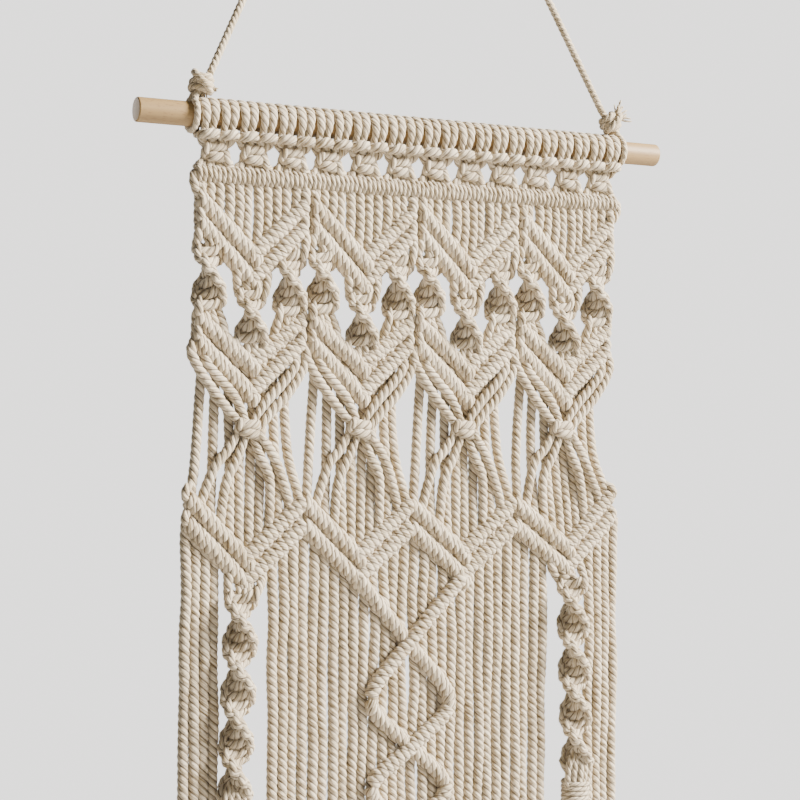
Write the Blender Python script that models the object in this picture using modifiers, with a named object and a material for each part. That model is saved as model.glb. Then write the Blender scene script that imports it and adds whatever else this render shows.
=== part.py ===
"""Macrame wall hanging of 48 cotton cords on a wooden dowel, with its hanging cord.

Metres, +Z up, front towards -Y, X along the dowel. The origin is the point where the
hanging cord's loop rests on its hook. The cloth is worked out in millimetres in the dowel's
own frame: x from the middle of the dowel, z from its axis, y from its axis towards the wall.
"""

import math

import bmesh
import bpy
from mathutils import Matrix, Vector

MM = 0.001
GAP = 0.3                    # left between neighbouring pieces, mm
SLOPE_GAP = 0.5              # the same gap across a slope, measured upright

# Dowel and hanging cord, mm
DOWEL_LENGTH = 350.0
DOWEL_DIAMETER = 14.0
DOWEL_FROM_HOOK = Vector((15.3, -6.0, -278.0))   # dowel centre, seen from the hook point
HANGING_CORD_DIAMETER = 4.0

# The 48 working cords, mm
CORD = 5.0                   # cord diameter
GROUPS = 4                   # chevrons side by side
CORDS_PER_GROUP = 12
CORD_PITCH = 5.9             # cord spacing in the knotted part
GROUP_WIDTH = CORDS_PER_GROUP * CORD_PITCH
WEAVE_MIDDLE = 1.8           # middle of the cloth from the middle of the dowel
WEAVE_LEFT = WEAVE_MIDDLE - 2 * GROUP_WIDTH
WEAVE_RIGHT = WEAVE_MIDDLE + 2 * GROUP_WIDTH
WALL_LEAN = 4.8              # the cloth leans back to the wall below the dowel
LEAN_TOP = -30.0
LEAN_BOTTOM = -180.0

# Depth of the layers from the middle plane of the cloth, mm
KNOT_DEPTH = 5.3             # half depth of a roll of hitches
FRONT_LAYER = (-5.4, 0.0)    # cords that cross in front
BACK_LAYER = (1.0, 5.6)      # cords that hang behind

# Heights from the dowel's axis, mm
HEADING_RADIUS = 10.4
SQUARE_KNOT_TOP = -10.8
BAR_MIDDLE = -33.0
BAR_HALF_HEIGHT = 5.6
FRINGE_BOTTOM = -560.0

# Chevrons: heights of the middle line and half heights, at the tip and at the outer ends
#            tip_mid  tip_half  end_mid  end_half
UPPER_CHEVRON = (-84.5, 12.5, -51.3, 10.3)
LOWER_CHEVRON = (-147.8, 17.7, -118.0, 12.0)
CHEVRON_HALF_WIDTH = 34.9

# Double zigzag over the whole width: turning points, from left to right
#          x     z_mid
ZIGZAG = ((-141.0, -223.0), (-106.0, -258.0), (-69.0, -226.0), (-34.5, -258.5),
          (1.5, -229.0), (36.5, -258.5), (74.0, -229.0), (112.5, -257.5), (145.0, -226.0))
ZIGZAG_HALF_HEIGHT = 12.3

# Short twists under a chevron: offset from the group's middle, heights and turn at the top
#               x      top     bottom   turn_deg
SHORT_TWISTS = ((-26.0, -77.0, -109.0, -5.5), (0.0, -97.5, -126.5, -26.0), (24.0, -78.0, -110.5, -15.5))
SHORT_TWIST_SIDES = ("left", "tip", "right")
TWIST_HALF_TURN = 28.5       # height of half a turn of a half-knot twist
TWIST_HALF_WIDTH = 9.5
TWIST_HALF_DEPTH = 4.2

# Long twists: x at the top and at the bottom, height of the top and turn there
#              side     x_top   x_bottom  top     turn_deg
LONG_TWISTS = (("left", -106.5, -110.0, -271.2, -36.5), ("right", 113.0, 117.5, -271.2, -46.5))
LONG_TWIST_BOTTOM = -388.0
WRAP_BOTTOM = -418.0
WRAP_HALF_WIDTH = 9.8
WRAP_HALF_DEPTH = 8.0

# Cords that hang behind a gathering knot: offsets from the group's middle
#              x_top  x_bottom
FALL_CORDS = ((-27.6, -31.0), (-19.0, -20.5), (-11.0, -12.0), (-4.0, -5.0),
              (4.0, 3.0), (10.6, 10.6), (16.4, 18.8), (22.4, 27.6))
GATHER_MIDDLE = -177.5
GATHER_HALF_HEIGHT = 8.3
GATHER_HALF_WIDTH = 8.5
GATHER_HALF_DEPTH = 5.5

# Right half of the crossing cords with their knot, from the chevron's tip round to below
#              x      z
CROSSING = ((33.5, -133.2), (34.2, -139.0), (29.8, -152.5), (9.5, -172.0),
            (9.0, -182.5), (27.5, -208.0), (21.5, -214.5), (3.5, -186.5))

# Lattice: the rolls of hitches that start under the second and third chevron and cross
#                x      z
LATTICE_LEFT = ((-30.0, -268.6), (0.0, -303.0), (28.0, -336.0), (2.0, -365.6), (-24.0, -389.0), (0.0, -417.0))
LATTICE_RIGHT = ((34.0, -270.4), (0.0, -303.0), (-25.0, -332.0), (2.0, -365.6), (26.5, -393.0), (5.0, -416.0))
LATTICE_STEP = 8.0
LATTICE_RADIUS = 4.9
LATTICE_PLANE = -4.6

# Fringe combs: x of the first and the last cord at the top, and how far they spread below
#           name             first    last   cords  spread
FRINGE = (("fringe_left", -140.8, -123.6, 4, -0.8), ("fringe_middle", -87.4, 96.6, 29, 0.0),
          ("fringe_right", 131.4, 149.2, 4, 0.8))

# Hanging cord: a straight leg from each end knot up to a knotted loop on the hook
HANGING_DEPTH = -1.5         # y of the end knots
HOOK_DEPTH = 6.0             # y of the loop
#               side      x      z
LEG_STARTS = (("left", -132.1, 23.4), ("right", 133.3, 24.0))
LEGS_MEET = (-16.1, 277.8)   # where both legs point to
LEG_TOP = 260.9
LEG_STEP = 10.0              # spacing of the points along a leg's tube
TOP_KNOT_MIDDLE = (-15.3, 265.0)
TOP_KNOT_HALF = (8.2, 4.2, 6.2)
TOP_LOOP_MIDDLE = 272.5      # height of the middle of the loop over the knot
TOP_LOOP_HALF = (5.8, 7.5)
# End knots: middles and half sizes
#                 side     x       z     half_x  half_y  half_z
HANGING_KNOTS = (("left", -137.5, 17.6, 7.5, 6.5, 6.4), ("right", 139.6, 18.0, 7.5, 6.8, 6.6))
LOOP_RADIUS = 9.3            # the loop round the dowel, which rises into the knot
LOOP_RISE = 4.5


def clear_scene():
    for item in list(bpy.data.objects):
        bpy.data.objects.remove(item, do_unlink=True)


def new_collection(name):
    collection = bpy.data.collections.new(name)
    bpy.context.scene.collection.children.link(collection)
    return collection


def make_material(name, colour, roughness):
    material = bpy.data.materials.new(name)
    material.use_nodes = True
    shader = material.node_tree.nodes["Principled BSDF"]
    shader.inputs["Base Color"].default_value = (*colour, 1.0)
    shader.inputs["Roughness"].default_value = roughness
    shader.inputs["Metallic"].default_value = 0.0
    return material


def cotton(name):
    return make_material(name + "_cotton", (0.79, 0.73, 0.62), 0.95)


def off_wall(z, half_depth):
    """Where the middle of a deep piece lies so that its back keeps off the wall."""
    return min(0.0, HEADING_RADIUS - lean(z) - half_depth)


def lean(z):
    """How far the cloth leans back towards the wall at height z."""
    share = min(1.0, max(0.0, (LEAN_TOP - z) / (LEAN_TOP - LEAN_BOTTOM)))
    return WALL_LEAN * share * share * (3.0 - 2.0 * share)


def place(x, y, z):
    """A point of the cloth, in metres from the hook."""
    return (Vector((x, y + lean(z), z)) + DOWEL_FROM_HOOK) * MM


def add_object(name, mesh, material, smooth=True):
    mesh.materials.append(material)
    if smooth:
        mesh.shade_smooth()
        mesh.set_sharp_from_angle(angle=math.radians(50.0))
    item = bpy.data.objects.new(name, mesh)
    parts.objects.link(item)
    return item


def finish_mesh(name, shape, material):
    bmesh.ops.recalc_face_normals(shape, faces=shape.faces)
    mesh = bpy.data.meshes.new(name)
    shape.to_mesh(mesh)
    shape.free()
    return add_object(name, mesh, material)


def loft(name, rings, material):
    """One closed body through rings of points that all hold the same number of points."""
    shape = bmesh.new()
    rows = [[shape.verts.new(point) for point in ring] for ring in rings]
    count = len(rows[0])
    for lower, upper in zip(rows, rows[1:]):
        for k in range(count):
            after = (k + 1) % count
            shape.faces.new((lower[k], lower[after], upper[after], upper[k]))
    shape.faces.new(rows[0])
    shape.faces.new(list(reversed(rows[-1])))
    return finish_mesh(name, shape, material)


def slab(name, outline, layer, material):
    """An outline in the plane of the cloth, given thickness from front to back."""
    front, back = layer
    shape = bmesh.new()
    face = shape.faces.new([shape.verts.new(place(x, front, z)) for x, z in outline])
    extruded = bmesh.ops.extrude_face_region(shape, geom=[face])
    moved = [v for v in extruded["geom"] if isinstance(v, bmesh.types.BMVert)]
    bmesh.ops.translate(shape, verts=moved, vec=(0.0, (back - front) * MM, 0.0))
    return finish_mesh(name, shape, material)


def tube(name, points, radius, material):
    """A round tube along points in metres, as a curve with a bevel and filled caps."""
    curve = bpy.data.curves.new(name, "CURVE")
    curve.dimensions = "3D"
    curve.bevel_depth = radius * MM
    curve.bevel_resolution = 2
    curve.use_fill_caps = True
    spline = curve.splines.new("POLY")
    spline.points.add(len(points) - 1)
    for target, point in zip(spline.points, points):
        target.co = (*point, 1.0)
    curve.materials.append(material)
    item = bpy.data.objects.new(name, curve)
    parts.objects.link(item)
    return item


def curve_to_mesh(item):
    """The same object as a mesh, with its caps welded on."""
    evaluated = item.evaluated_get(bpy.context.evaluated_depsgraph_get())
    mesh = bpy.data.meshes.new_from_object(evaluated)
    shape = bmesh.new()
    shape.from_mesh(mesh)
    bmesh.ops.remove_doubles(shape, verts=shape.verts, dist=1e-6)
    bmesh.ops.recalc_face_normals(shape, faces=shape.faces)
    shape.to_mesh(mesh)
    shape.free()
    name, matrix = item.name, item.matrix_world.copy()
    bpy.data.objects.remove(item, do_unlink=True)
    result = bpy.data.objects.new(name, mesh)
    result.matrix_world = matrix
    parts.objects.link(result)
    return result


def join_with(item, cutter):
    """Make the item and the cutter one body."""
    for collection in cutter.users_collection:
        collection.objects.unlink(cutter)
    cutters.objects.link(cutter)
    cutter.hide_render = True
    cutter.display_type = "WIRE"
    modifier = item.modifiers.new("join", "BOOLEAN")
    modifier.operation = "UNION"
    modifier.solver = "EXACT"
    modifier.object = cutter


def group_middle(group):
    return WEAVE_LEFT + (group + 0.5) * GROUP_WIDTH


def smooth_route(points, step):
    """Points at even steps along a smooth curve through the given points."""
    spots = [Vector(point) for point in points]
    ends = [2 * spots[0] - spots[1]] + spots + [2 * spots[-1] - spots[-2]]
    result = []
    for before, start, end, after in zip(ends, ends[1:], ends[2:], ends[3:]):
        pieces = max(1, round((end - start).length / step))
        for t in (k / pieces for k in range(pieces)):
            result.append(0.5 * (2 * start + (end - before) * t
                                 + (2 * before - 5 * start + 4 * end - after) * t ** 2
                                 + (3 * start - before - 3 * end + after) * t ** 3))
    return result + [spots[-1]]


def build_dowel():
    shape = bmesh.new()
    bmesh.ops.create_cone(shape, cap_ends=True, segments=40, radius1=DOWEL_DIAMETER / 2 * MM,
                          radius2=DOWEL_DIAMETER / 2 * MM, depth=DOWEL_LENGTH * MM,
                          matrix=Matrix.Rotation(math.pi / 2, 4, "Y"))
    bmesh.ops.translate(shape, verts=shape.verts, vec=DOWEL_FROM_HOOK * MM)
    mesh = bpy.data.meshes.new("dowel")
    shape.to_mesh(mesh)
    shape.free()
    item = add_object("dowel", mesh, make_material("beech_dowel", (0.62, 0.47, 0.32), 0.6))
    bevel = item.modifiers.new("broken edges", "BEVEL")
    bevel.width = 1.0 * MM
    bevel.segments = 2
    bevel.limit_method = "ANGLE"


def build_heading():
    """The sleeve of lark's heads, a closed profile with a bump for each pair, spun round the dowel."""
    inner = DOWEL_DIAMETER / 2 + GAP
    groove = HEADING_RADIUS - 1.2
    pair = 2 * CORD_PITCH
    profile = [(WEAVE_LEFT, inner), (WEAVE_LEFT, groove)]
    for k in range(GROUPS * CORDS_PER_GROUP // 2):
        left = WEAVE_LEFT + k * pair
        profile.append((left + 0.5 * pair, HEADING_RADIUS))
        profile.append((left + pair, groove))
    profile.append((WEAVE_RIGHT, inner))
    shape = bmesh.new()
    verts = [shape.verts.new((Vector((x, 0.0, r)) + DOWEL_FROM_HOOK) * MM) for x, r in profile]
    edges = [shape.edges.new((a, b)) for a, b in zip(verts, verts[1:] + verts[:1])]
    bmesh.ops.spin(shape, geom=verts + edges, cent=DOWEL_FROM_HOOK * MM, axis=(1.0, 0.0, 0.0),
                   angle=2 * math.pi, steps=12, use_merge=True)
    finish_mesh("larks_head_heading", shape, cotton("larks_head_heading"))


def build_square_knots():
    """Flat knots that are widest where their cords part, with an eye hole between neighbours."""
    top, bottom = SQUARE_KNOT_TOP, BAR_MIDDLE + BAR_HALF_HEIGHT + GAP
    half = 2 * CORD_PITCH - GAP / 2
    #            share of the height, share of the half width, half depth
    sections = ((0.0, 0.96, 3.2), (0.2, 0.95, 4.2), (0.4, 0.72, 5.6), (0.65, 0.72, 5.6),
                (0.85, 0.95, 4.2), (1.0, 0.96, 3.2))
    for k in range(GROUPS * CORDS_PER_GROUP // 4):
        middle = WEAVE_LEFT + (4 * k + 2) * CORD_PITCH
        rings = []
        for height, width, depth in sections:
            z = top + (bottom - top) * height
            rings.append(flat_ring(middle, z, half * width, depth))
        name = f"square_knot_{k + 1:02d}"
        loft(name, rings, cotton(name))


def flat_ring(x, z, half_width, half_depth):
    """A level ring with flat front and back and rounded sides."""
    flat = 0.62
    corners = ((1.0, -0.45), (1.0, 0.45), (flat, 1.0), (-flat, 1.0), (-1.0, 0.45),
               (-1.0, -0.45), (-flat, -1.0), (flat, -1.0))
    return [place(x + half_width * a, half_depth * b, z) for a, b in corners]


def build_hitch_bar():
    rings = []
    for x, share in ((WEAVE_LEFT - 1.5, 0.55), (WEAVE_LEFT, 0.92), (WEAVE_LEFT + 2.0, 1.0),
                     (WEAVE_RIGHT - 4.0, 1.0), (WEAVE_RIGHT - 2.0, 0.92), (WEAVE_RIGHT - 0.5, 0.55)):
        rings.append([place(x, KNOT_DEPTH * share * math.cos(turn),
                            BAR_MIDDLE + BAR_HALF_HEIGHT * share * math.sin(turn))
                      for turn in (math.pi * k / 6 for k in range(12))])
    loft("hitch_bar", rings, cotton("hitch_bar"))


def chevron_line(chevron, offset):
    """Middle height and half height of a chevron at an offset from its tip."""
    tip_mid, tip_half, end_mid, end_half = chevron
    share = abs(offset) / CHEVRON_HALF_WIDTH
    return tip_mid + (end_mid - tip_mid) * share, tip_half + (end_half - tip_half) * share


def double_roll_ring(x, middle, half_height, share=1.0):
    """An upright section through two rolls of hitches, one above the other."""
    #           height, depth: half of the outline, front side, from top to bottom
    front = ((1.0, 0.35), (0.8, 0.85), (0.45, 1.0), (0.0, 0.72), (-0.45, 1.0), (-0.8, 0.85), (-1.0, 0.35))
    ring = [(-depth, height) for height, depth in front]
    ring += [(depth, height) for height, depth in reversed(front)]
    return [place(x, KNOT_DEPTH * depth * share, middle + half_height * height * share)
            for depth, height in ring]


def build_chevrons(row_name, chevron):
    ends = (-1.0, -0.93, -0.5, 0.0, 0.5, 0.93, 1.0)
    for group in range(GROUPS):
        rings = []
        for end in ends:
            offset = end * CHEVRON_HALF_WIDTH
            middle, half = chevron_line(chevron, offset)
            share = 0.72 if abs(end) == 1.0 else 1.0
            rings.append(double_roll_ring(group_middle(group) + offset, middle, half, share))
        name = f"{row_name}_chevron_{group + 1}"
        loft(name, rings, cotton(name))


def build_cord_rows():
    """Cords that show between the bar and the upper chevrons, joined along the bar."""
    top = BAR_MIDDLE - BAR_HALF_HEIGHT - GAP
    strip = 1.2
    middle, half = chevron_line(UPPER_CHEVRON, 0.0)
    notch = middle + half + GAP
    outline = [(WEAVE_LEFT + 1.0, top), (WEAVE_RIGHT - 1.0, top)]
    for group in reversed(range(GROUPS)):
        x = group_middle(group)
        side = CHEVRON_HALF_WIDTH - 0.7
        outline += [(x + side, top - strip), (x, notch), (x - side, top - strip)]
    slab("cord_rows", outline, (-CORD / 2, CORD / 2), cotton("cord_rows"))


def twist(name, x_top, x_bottom, top, bottom, turn):
    """A flat band of half knots that turns evenly as it goes down."""
    steps = max(6, round((top - bottom) / 5.2))
    rings = []
    for k in range(steps + 1):
        share = k / steps
        x, z = x_top + (x_bottom - x_top) * share, top + (bottom - top) * share
        swell = 0.42 if k in (0, steps) else 1.0
        angle = turn + math.pi * (top - z) / TWIST_HALF_TURN
        ring = []
        for j in range(8):
            round_angle = 2 * math.pi * j / 8
            wide = TWIST_HALF_WIDTH * swell * math.cos(round_angle)
            deep = TWIST_HALF_DEPTH * (0.5 + 0.5 * swell) * math.sin(round_angle)
            ring.append(place(x + wide * math.cos(angle) - deep * math.sin(angle),
                              off_wall(z, TWIST_HALF_WIDTH)
                              + wide * math.sin(angle) + deep * math.cos(angle), z))
        rings.append(ring)
    loft(name, rings, cotton(name))


def build_short_twists():
    for group in range(GROUPS):
        for side, (offset, top, bottom, turn) in zip(SHORT_TWIST_SIDES, SHORT_TWISTS):
            x = group_middle(group) + offset
            twist(f"short_twist_{group + 1}_{side}", x, x, top, bottom, math.radians(turn))


def build_falls():
    """Cords that hang from the lower chevron to the zigzag, joined where they leave the chevron."""
    strip = 3.0
    half = CORD / 2
    for group in range(GROUPS):
        middle = group_middle(group)
        upper, lower = [], []
        for x_top, x_bottom in FALL_CORDS:
            for side in (-half, half):
                level, half_height = chevron_line(LOWER_CHEVRON, x_top + side)
                upper.append((middle + x_top + side, level - half_height - SLOPE_GAP))
        for k, (x_top, x_bottom) in enumerate(FALL_CORDS):
            left, right = upper[2 * k], upper[2 * k + 1]
            feet = [middle + x_bottom - half, middle + x_bottom + half]
            foot_level = [zigzag_middle(x) + ZIGZAG_HALF_HEIGHT + SLOPE_GAP for x in feet]
            if k > 0:
                lower.append((left[0], left[1] - strip))
            lower += list(zip(feet, foot_level))
            if k < len(FALL_CORDS) - 1:
                lower.append((right[0], right[1] - strip))
        tip = (middle, LOWER_CHEVRON[0] - LOWER_CHEVRON[1] - SLOPE_GAP)
        cords_left = len(FALL_CORDS)
        outline = upper[:cords_left] + [tip] + upper[cords_left:]
        name = f"falling_cords_{group + 1}"
        slab(name, outline + list(reversed(lower)), BACK_LAYER, cotton(name))


def build_gatherings():
    """A square knot with the four cords that cross to it in front and part again below it."""
    for group in range(GROUPS):
        middle = group_middle(group)
        tip, half = chevron_line(LOWER_CHEVRON, 0.0)
        outline = [(0.0, tip - half - 3 * GAP), *CROSSING]
        outline += [(-x, z) for x, z in reversed(CROSSING)]
        name = f"gathering_knot_{group + 1}"
        item = slab(name, [(middle + x, z) for x, z in outline], FRONT_LAYER, cotton(name))
        shape = bmesh.new()
        bmesh.ops.create_uvsphere(shape, u_segments=10, v_segments=6, radius=1.0)
        size = Vector((GATHER_HALF_WIDTH, GATHER_HALF_DEPTH, GATHER_HALF_HEIGHT)) * MM
        bmesh.ops.scale(shape, vec=size, verts=shape.verts)
        depth = GAP + FRONT_LAYER[1] - GATHER_HALF_DEPTH
        bmesh.ops.translate(shape, verts=shape.verts, vec=place(middle, depth, GATHER_MIDDLE))
        mesh = bpy.data.meshes.new(name + "_pad")
        shape.to_mesh(mesh)
        shape.free()
        join_with(item, add_object(name + "_pad", mesh, item.data.materials[0]))


def zigzag_middle(x):
    """Height of the zigzag's middle line at x."""
    for (x0, z0), (x1, z1) in zip(ZIGZAG, ZIGZAG[1:]):
        if x0 <= x <= x1:
            return z0 + (z1 - z0) * (x - x0) / (x1 - x0)
    return ZIGZAG[0][1] if x < ZIGZAG[0][0] else ZIGZAG[-1][1]


def build_zigzag():
    rings = []
    for k, ((x0, z0), (x1, z1)) in enumerate(zip(ZIGZAG, ZIGZAG[1:])):
        for share in (0.0, 0.5):
            size = 0.72 if k == 0 and share == 0.0 else 1.0
            rings.append(double_roll_ring(x0 + (x1 - x0) * share, z0 + (z1 - z0) * share,
                                          ZIGZAG_HALF_HEIGHT, size))
    rings.append(double_roll_ring(*ZIGZAG[-1], ZIGZAG_HALF_HEIGHT, 0.72))
    loft("zigzag", rings, cotton("zigzag"))


def build_lattice():
    """Two rolls of hitches that cross three times, made one body."""
    material = cotton("lattice")
    rolls = []
    for name, turns in (("lattice", LATTICE_LEFT), ("lattice_second_roll", LATTICE_RIGHT)):
        route = smooth_route([(x, 0.0, z) for x, z in turns], LATTICE_STEP)
        points = [place(spot.x, LATTICE_PLANE, spot.z) for spot in route]
        rolls.append(curve_to_mesh(tube(name, points, LATTICE_RADIUS, material)))
    join_with(*rolls)


def build_long_twists():
    for side, x_top, x_bottom, top, turn in LONG_TWISTS:
        twist(f"long_twist_{side}", x_top, x_bottom, top, LONG_TWIST_BOTTOM, math.radians(turn))
        wrap, tassel = [], []
        for z, share in ((LONG_TWIST_BOTTOM - GAP, 0.75), (LONG_TWIST_BOTTOM - 3.0, 1.0),
                          (WRAP_BOTTOM + 3.0, 1.0), (WRAP_BOTTOM, 0.75)):
            wrap.append(round_ring(x_bottom, z, WRAP_HALF_WIDTH * share, WRAP_HALF_DEPTH * share))
        for z, wide, deep in ((WRAP_BOTTOM - GAP, 5.5, 5.0), (WRAP_BOTTOM - 30.0, 8.0, 5.6),
                              (FRINGE_BOTTOM, 10.0, 5.6)):
            tassel.append(round_ring(x_bottom, z, wide, deep))
        loft(f"wrapped_knot_{side}", wrap, cotton(f"wrapped_knot_{side}"))
        loft(f"tassel_{side}", tassel, cotton(f"tassel_{side}"))


def round_ring(x, z, half_width, half_depth):
    middle = off_wall(z, WRAP_HALF_DEPTH)
    return [place(x + half_width * math.cos(math.pi * k / 6),
                  middle + half_depth * math.sin(math.pi * k / 6), z) for k in range(12)]


def uneven(k):
    """How much longer or shorter a fringe cord is than its neighbours."""
    return 1.6 * math.sin(2.4 * k)


def build_fringe():
    """Combs of straight cords, joined in a strip under the zigzag."""
    strip = 4.0
    half = CORD / 2
    for name, first, last, cords, spread in FRINGE:
        outline_top, outline_bottom = [], []
        corners = [x for x, z in ZIGZAG if first + half < x < last - half]
        for x in sorted([first - half, *corners, last + half]):
            outline_top.append((x, zigzag_middle(x) - ZIGZAG_HALF_HEIGHT - SLOPE_GAP))
        for k in range(cords):
            share = k / (cords - 1)
            x = first + (last - first) * share
            foot = x + spread * (1.0 - share if spread < 0 else share)
            for side in (-half, half):
                top = zigzag_middle(x + side) - ZIGZAG_HALF_HEIGHT - SLOPE_GAP - strip
                ends = [(x + side, top), (foot + side, FRINGE_BOTTOM + uneven(k))]
                outer = k == 0 and side < 0 or k == cords - 1 and side > 0
                if outer:
                    outline_bottom.append(ends[1])
                else:
                    outline_bottom += ends if side < 0 else reversed(ends)
        slab(name, outline_top + list(reversed(outline_bottom)), BACK_LAYER, cotton(name))


def leg_route(x, z):
    """Middle line of one leg of the hanging cord."""
    start = Vector((x, HANGING_DEPTH, z))
    meet = Vector((LEGS_MEET[0], HOOK_DEPTH, LEGS_MEET[1]))
    end = start.lerp(meet, (LEG_TOP - z) / (LEGS_MEET[1] - z))
    pieces = round((end - start).length / LEG_STEP)
    return [start.lerp(end, k / pieces) for k in range(pieces + 1)]


def add_knot(item, middle, half):
    """Join a round knot on to a loop of cord."""
    shape = bmesh.new()
    bmesh.ops.create_uvsphere(shape, u_segments=12, v_segments=8, radius=1.0)
    bmesh.ops.scale(shape, vec=Vector(half) * MM, verts=shape.verts)
    bmesh.ops.translate(shape, verts=shape.verts, vec=(Vector(middle) + DOWEL_FROM_HOOK) * MM)
    name = item.name + "_bulk"
    mesh = bpy.data.meshes.new(name)
    shape.to_mesh(mesh)
    shape.free()
    join_with(item, add_object(name, mesh, item.data.materials[0]))


def closed_loop(name, ring, radius):
    loop = tube(name, [(spot + DOWEL_FROM_HOOK) * MM for spot in ring], radius, cotton(name))
    loop.data.splines[0].use_cyclic_u = True
    return curve_to_mesh(loop)


def build_top_loop():
    x, z = TOP_KNOT_MIDDLE
    ring = []
    for turn in (2 * math.pi * k / 16 for k in range(16)):
        ring.append(Vector((x + TOP_LOOP_HALF[0] * math.cos(turn), HOOK_DEPTH,
                            TOP_LOOP_MIDDLE + TOP_LOOP_HALF[1] * math.sin(turn))))
    loop = closed_loop("hanging_loop", ring, HANGING_CORD_DIAMETER / 2)
    add_knot(loop, (x, HOOK_DEPTH, z), TOP_KNOT_HALF)


def build_hanging():
    for side, x, z in LEG_STARTS:
        name = f"hanging_cord_{side}"
        points = [(spot + DOWEL_FROM_HOOK) * MM for spot in leg_route(x, z)]
        tube(name, points, HANGING_CORD_DIAMETER / 2, cotton(name))
    thickness = HANGING_CORD_DIAMETER / 2 - 0.1
    for side, x, z, half_x, half_y, half_z in HANGING_KNOTS:
        loop_x = WEAVE_LEFT - GAP - thickness if side == "left" else WEAVE_RIGHT + GAP + thickness
        ring = []
        for turn in (2 * math.pi * k / 20 for k in range(20)):
            radius = LOOP_RADIUS + LOOP_RISE * max(0.0, math.sin(turn)) ** 6
            ring.append(Vector((loop_x, radius * math.cos(turn), radius * math.sin(turn))))
        loop = closed_loop(f"hanging_knot_{side}", ring, thickness)
        add_knot(loop, (x, HANGING_DEPTH, z), (half_x, half_y, half_z))


clear_scene()
parts = new_collection("macrame_wall_hanging")
cutters = new_collection("macrame_wall_hanging_cutters")
build_dowel()
build_hanging()
build_top_loop()
build_heading()
build_square_knots()
build_hitch_bar()
build_cord_rows()
build_chevrons("upper", UPPER_CHEVRON)
build_short_twists()
build_chevrons("lower", LOWER_CHEVRON)
build_gatherings()
build_falls()
build_zigzag()
build_lattice()
build_long_twists()
build_fringe()
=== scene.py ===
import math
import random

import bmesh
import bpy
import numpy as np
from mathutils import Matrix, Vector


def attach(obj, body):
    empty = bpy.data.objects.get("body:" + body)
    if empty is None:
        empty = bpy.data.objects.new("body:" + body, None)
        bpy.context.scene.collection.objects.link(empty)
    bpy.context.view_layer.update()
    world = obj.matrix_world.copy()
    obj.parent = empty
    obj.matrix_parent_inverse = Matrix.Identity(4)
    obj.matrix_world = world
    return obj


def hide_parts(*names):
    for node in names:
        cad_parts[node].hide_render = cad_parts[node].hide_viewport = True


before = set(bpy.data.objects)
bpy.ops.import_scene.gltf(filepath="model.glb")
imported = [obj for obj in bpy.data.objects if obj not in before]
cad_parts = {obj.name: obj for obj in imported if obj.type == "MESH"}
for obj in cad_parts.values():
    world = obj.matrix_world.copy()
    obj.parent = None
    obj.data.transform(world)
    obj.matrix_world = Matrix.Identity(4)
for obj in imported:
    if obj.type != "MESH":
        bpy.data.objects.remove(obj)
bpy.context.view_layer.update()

# %% [markdown]
# A macrame wall hanging is nothing but cord and knots, so this lesson makes everything from
# one idea: a path through space, swept with the section of a three-ply twisted cord. Each
# knot is a short function that works out how the cord runs, and the same few knots are
# tied again and again, as a maker would tie them.
#
# All paths are worked out in millimetres in the dowel's own frame: x along the dowel, z up
# from its axis, y from its axis to the back. The front faces -y.

MM = 0.001
DOWEL_FROM_HOOK = np.array((15.3, -6.0, -278.0))
DOWEL_LENGTH, DOWEL_RADIUS = 350.0, 7.0
CORD_RADIUS = 2.5
FREE_RADIUS = 3.15           # where nothing presses on the cord
CORD_PITCH = 5.9
GROUPS, CORDS_PER_GROUP = 4, 12
GROUP_WIDTH = CORDS_PER_GROUP * CORD_PITCH
WEAVE_MIDDLE = 1.8           # the cloth's middle, seen from the dowel's
WEAVE_LEFT = WEAVE_MIDDLE - GROUPS / 2 * GROUP_WIDTH
GROUP_MIDDLES = [WEAVE_LEFT + (group + 0.5) * GROUP_WIDTH for group in range(GROUPS)]
print("group middles, mm:", [round(x, 1) for x in GROUP_MIDDLES])

# %% [markdown]
# The cloth hangs from the dowel and leans back below it, until its middle is 5 mm behind the
# dowel's axis. One function adds that lean to every point, so that the knots can be worked out
# as if the cloth hung straight down. Another brings deep knots forward, so that their backs
# don't stand out behind.

# %% From the cloth's frame to the scene's
LEAN_DEPTH, LEAN_TOP, LEAN_BOTTOM = 4.8, -30.0, -180.0
BACK_PLANE = 10.4            # where the backs of deep knots end, from the dowel's axis


def lean(z):
    share = np.clip((LEAN_TOP - z) / (LEAN_TOP - LEAN_BOTTOM), 0.0, 1.0)
    return LEAN_DEPTH * share * share * (3.0 - 2.0 * share)


def off_back(z, half_depth):
    """Where the middle of a deep knot lies so that its back stays in front of BACK_PLANE."""
    return np.minimum(0.0, BACK_PLANE - lean(z) - half_depth)


def to_scene(points):
    placed = np.array(points, float) + DOWEL_FROM_HOOK
    placed[:, 1] += lean(np.array(points, float)[:, 2])
    return placed * MM


print("lean at the fringe, mm:", float(lean(LEAN_BOTTOM)))

# %% [markdown]
# Colours are given as sRGB hex values, as a colour picker shows them, and Blender's shaders
# want linear light. One small function turns the one into the other, and another adds a
# shader node with its settings and links.

# %% Colour and node helpers


def linear(hex_colour):
    values = [int(hex_colour[k:k + 2], 16) / 255 for k in (1, 3, 5)]
    return [v / 12.92 if v <= 0.04045 else ((v + 0.055) / 1.055) ** 2.4 for v in values] + [1.0]


def add_node(tree, kind, settings=None, links=None):
    """A new node: settings are its values or attributes, links feed its inputs."""
    node = tree.nodes.new(kind)
    for key, value in (settings or {}).items():
        if isinstance(key, int) or key in node.inputs:
            node.inputs[key].default_value = value
        else:
            setattr(node, key, value)
    for key, socket in (links or {}).items():
        tree.links.new(socket, node.inputs[key])
    return node


print("middle grey in linear light:", round(linear("#808080")[0], 3))

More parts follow.
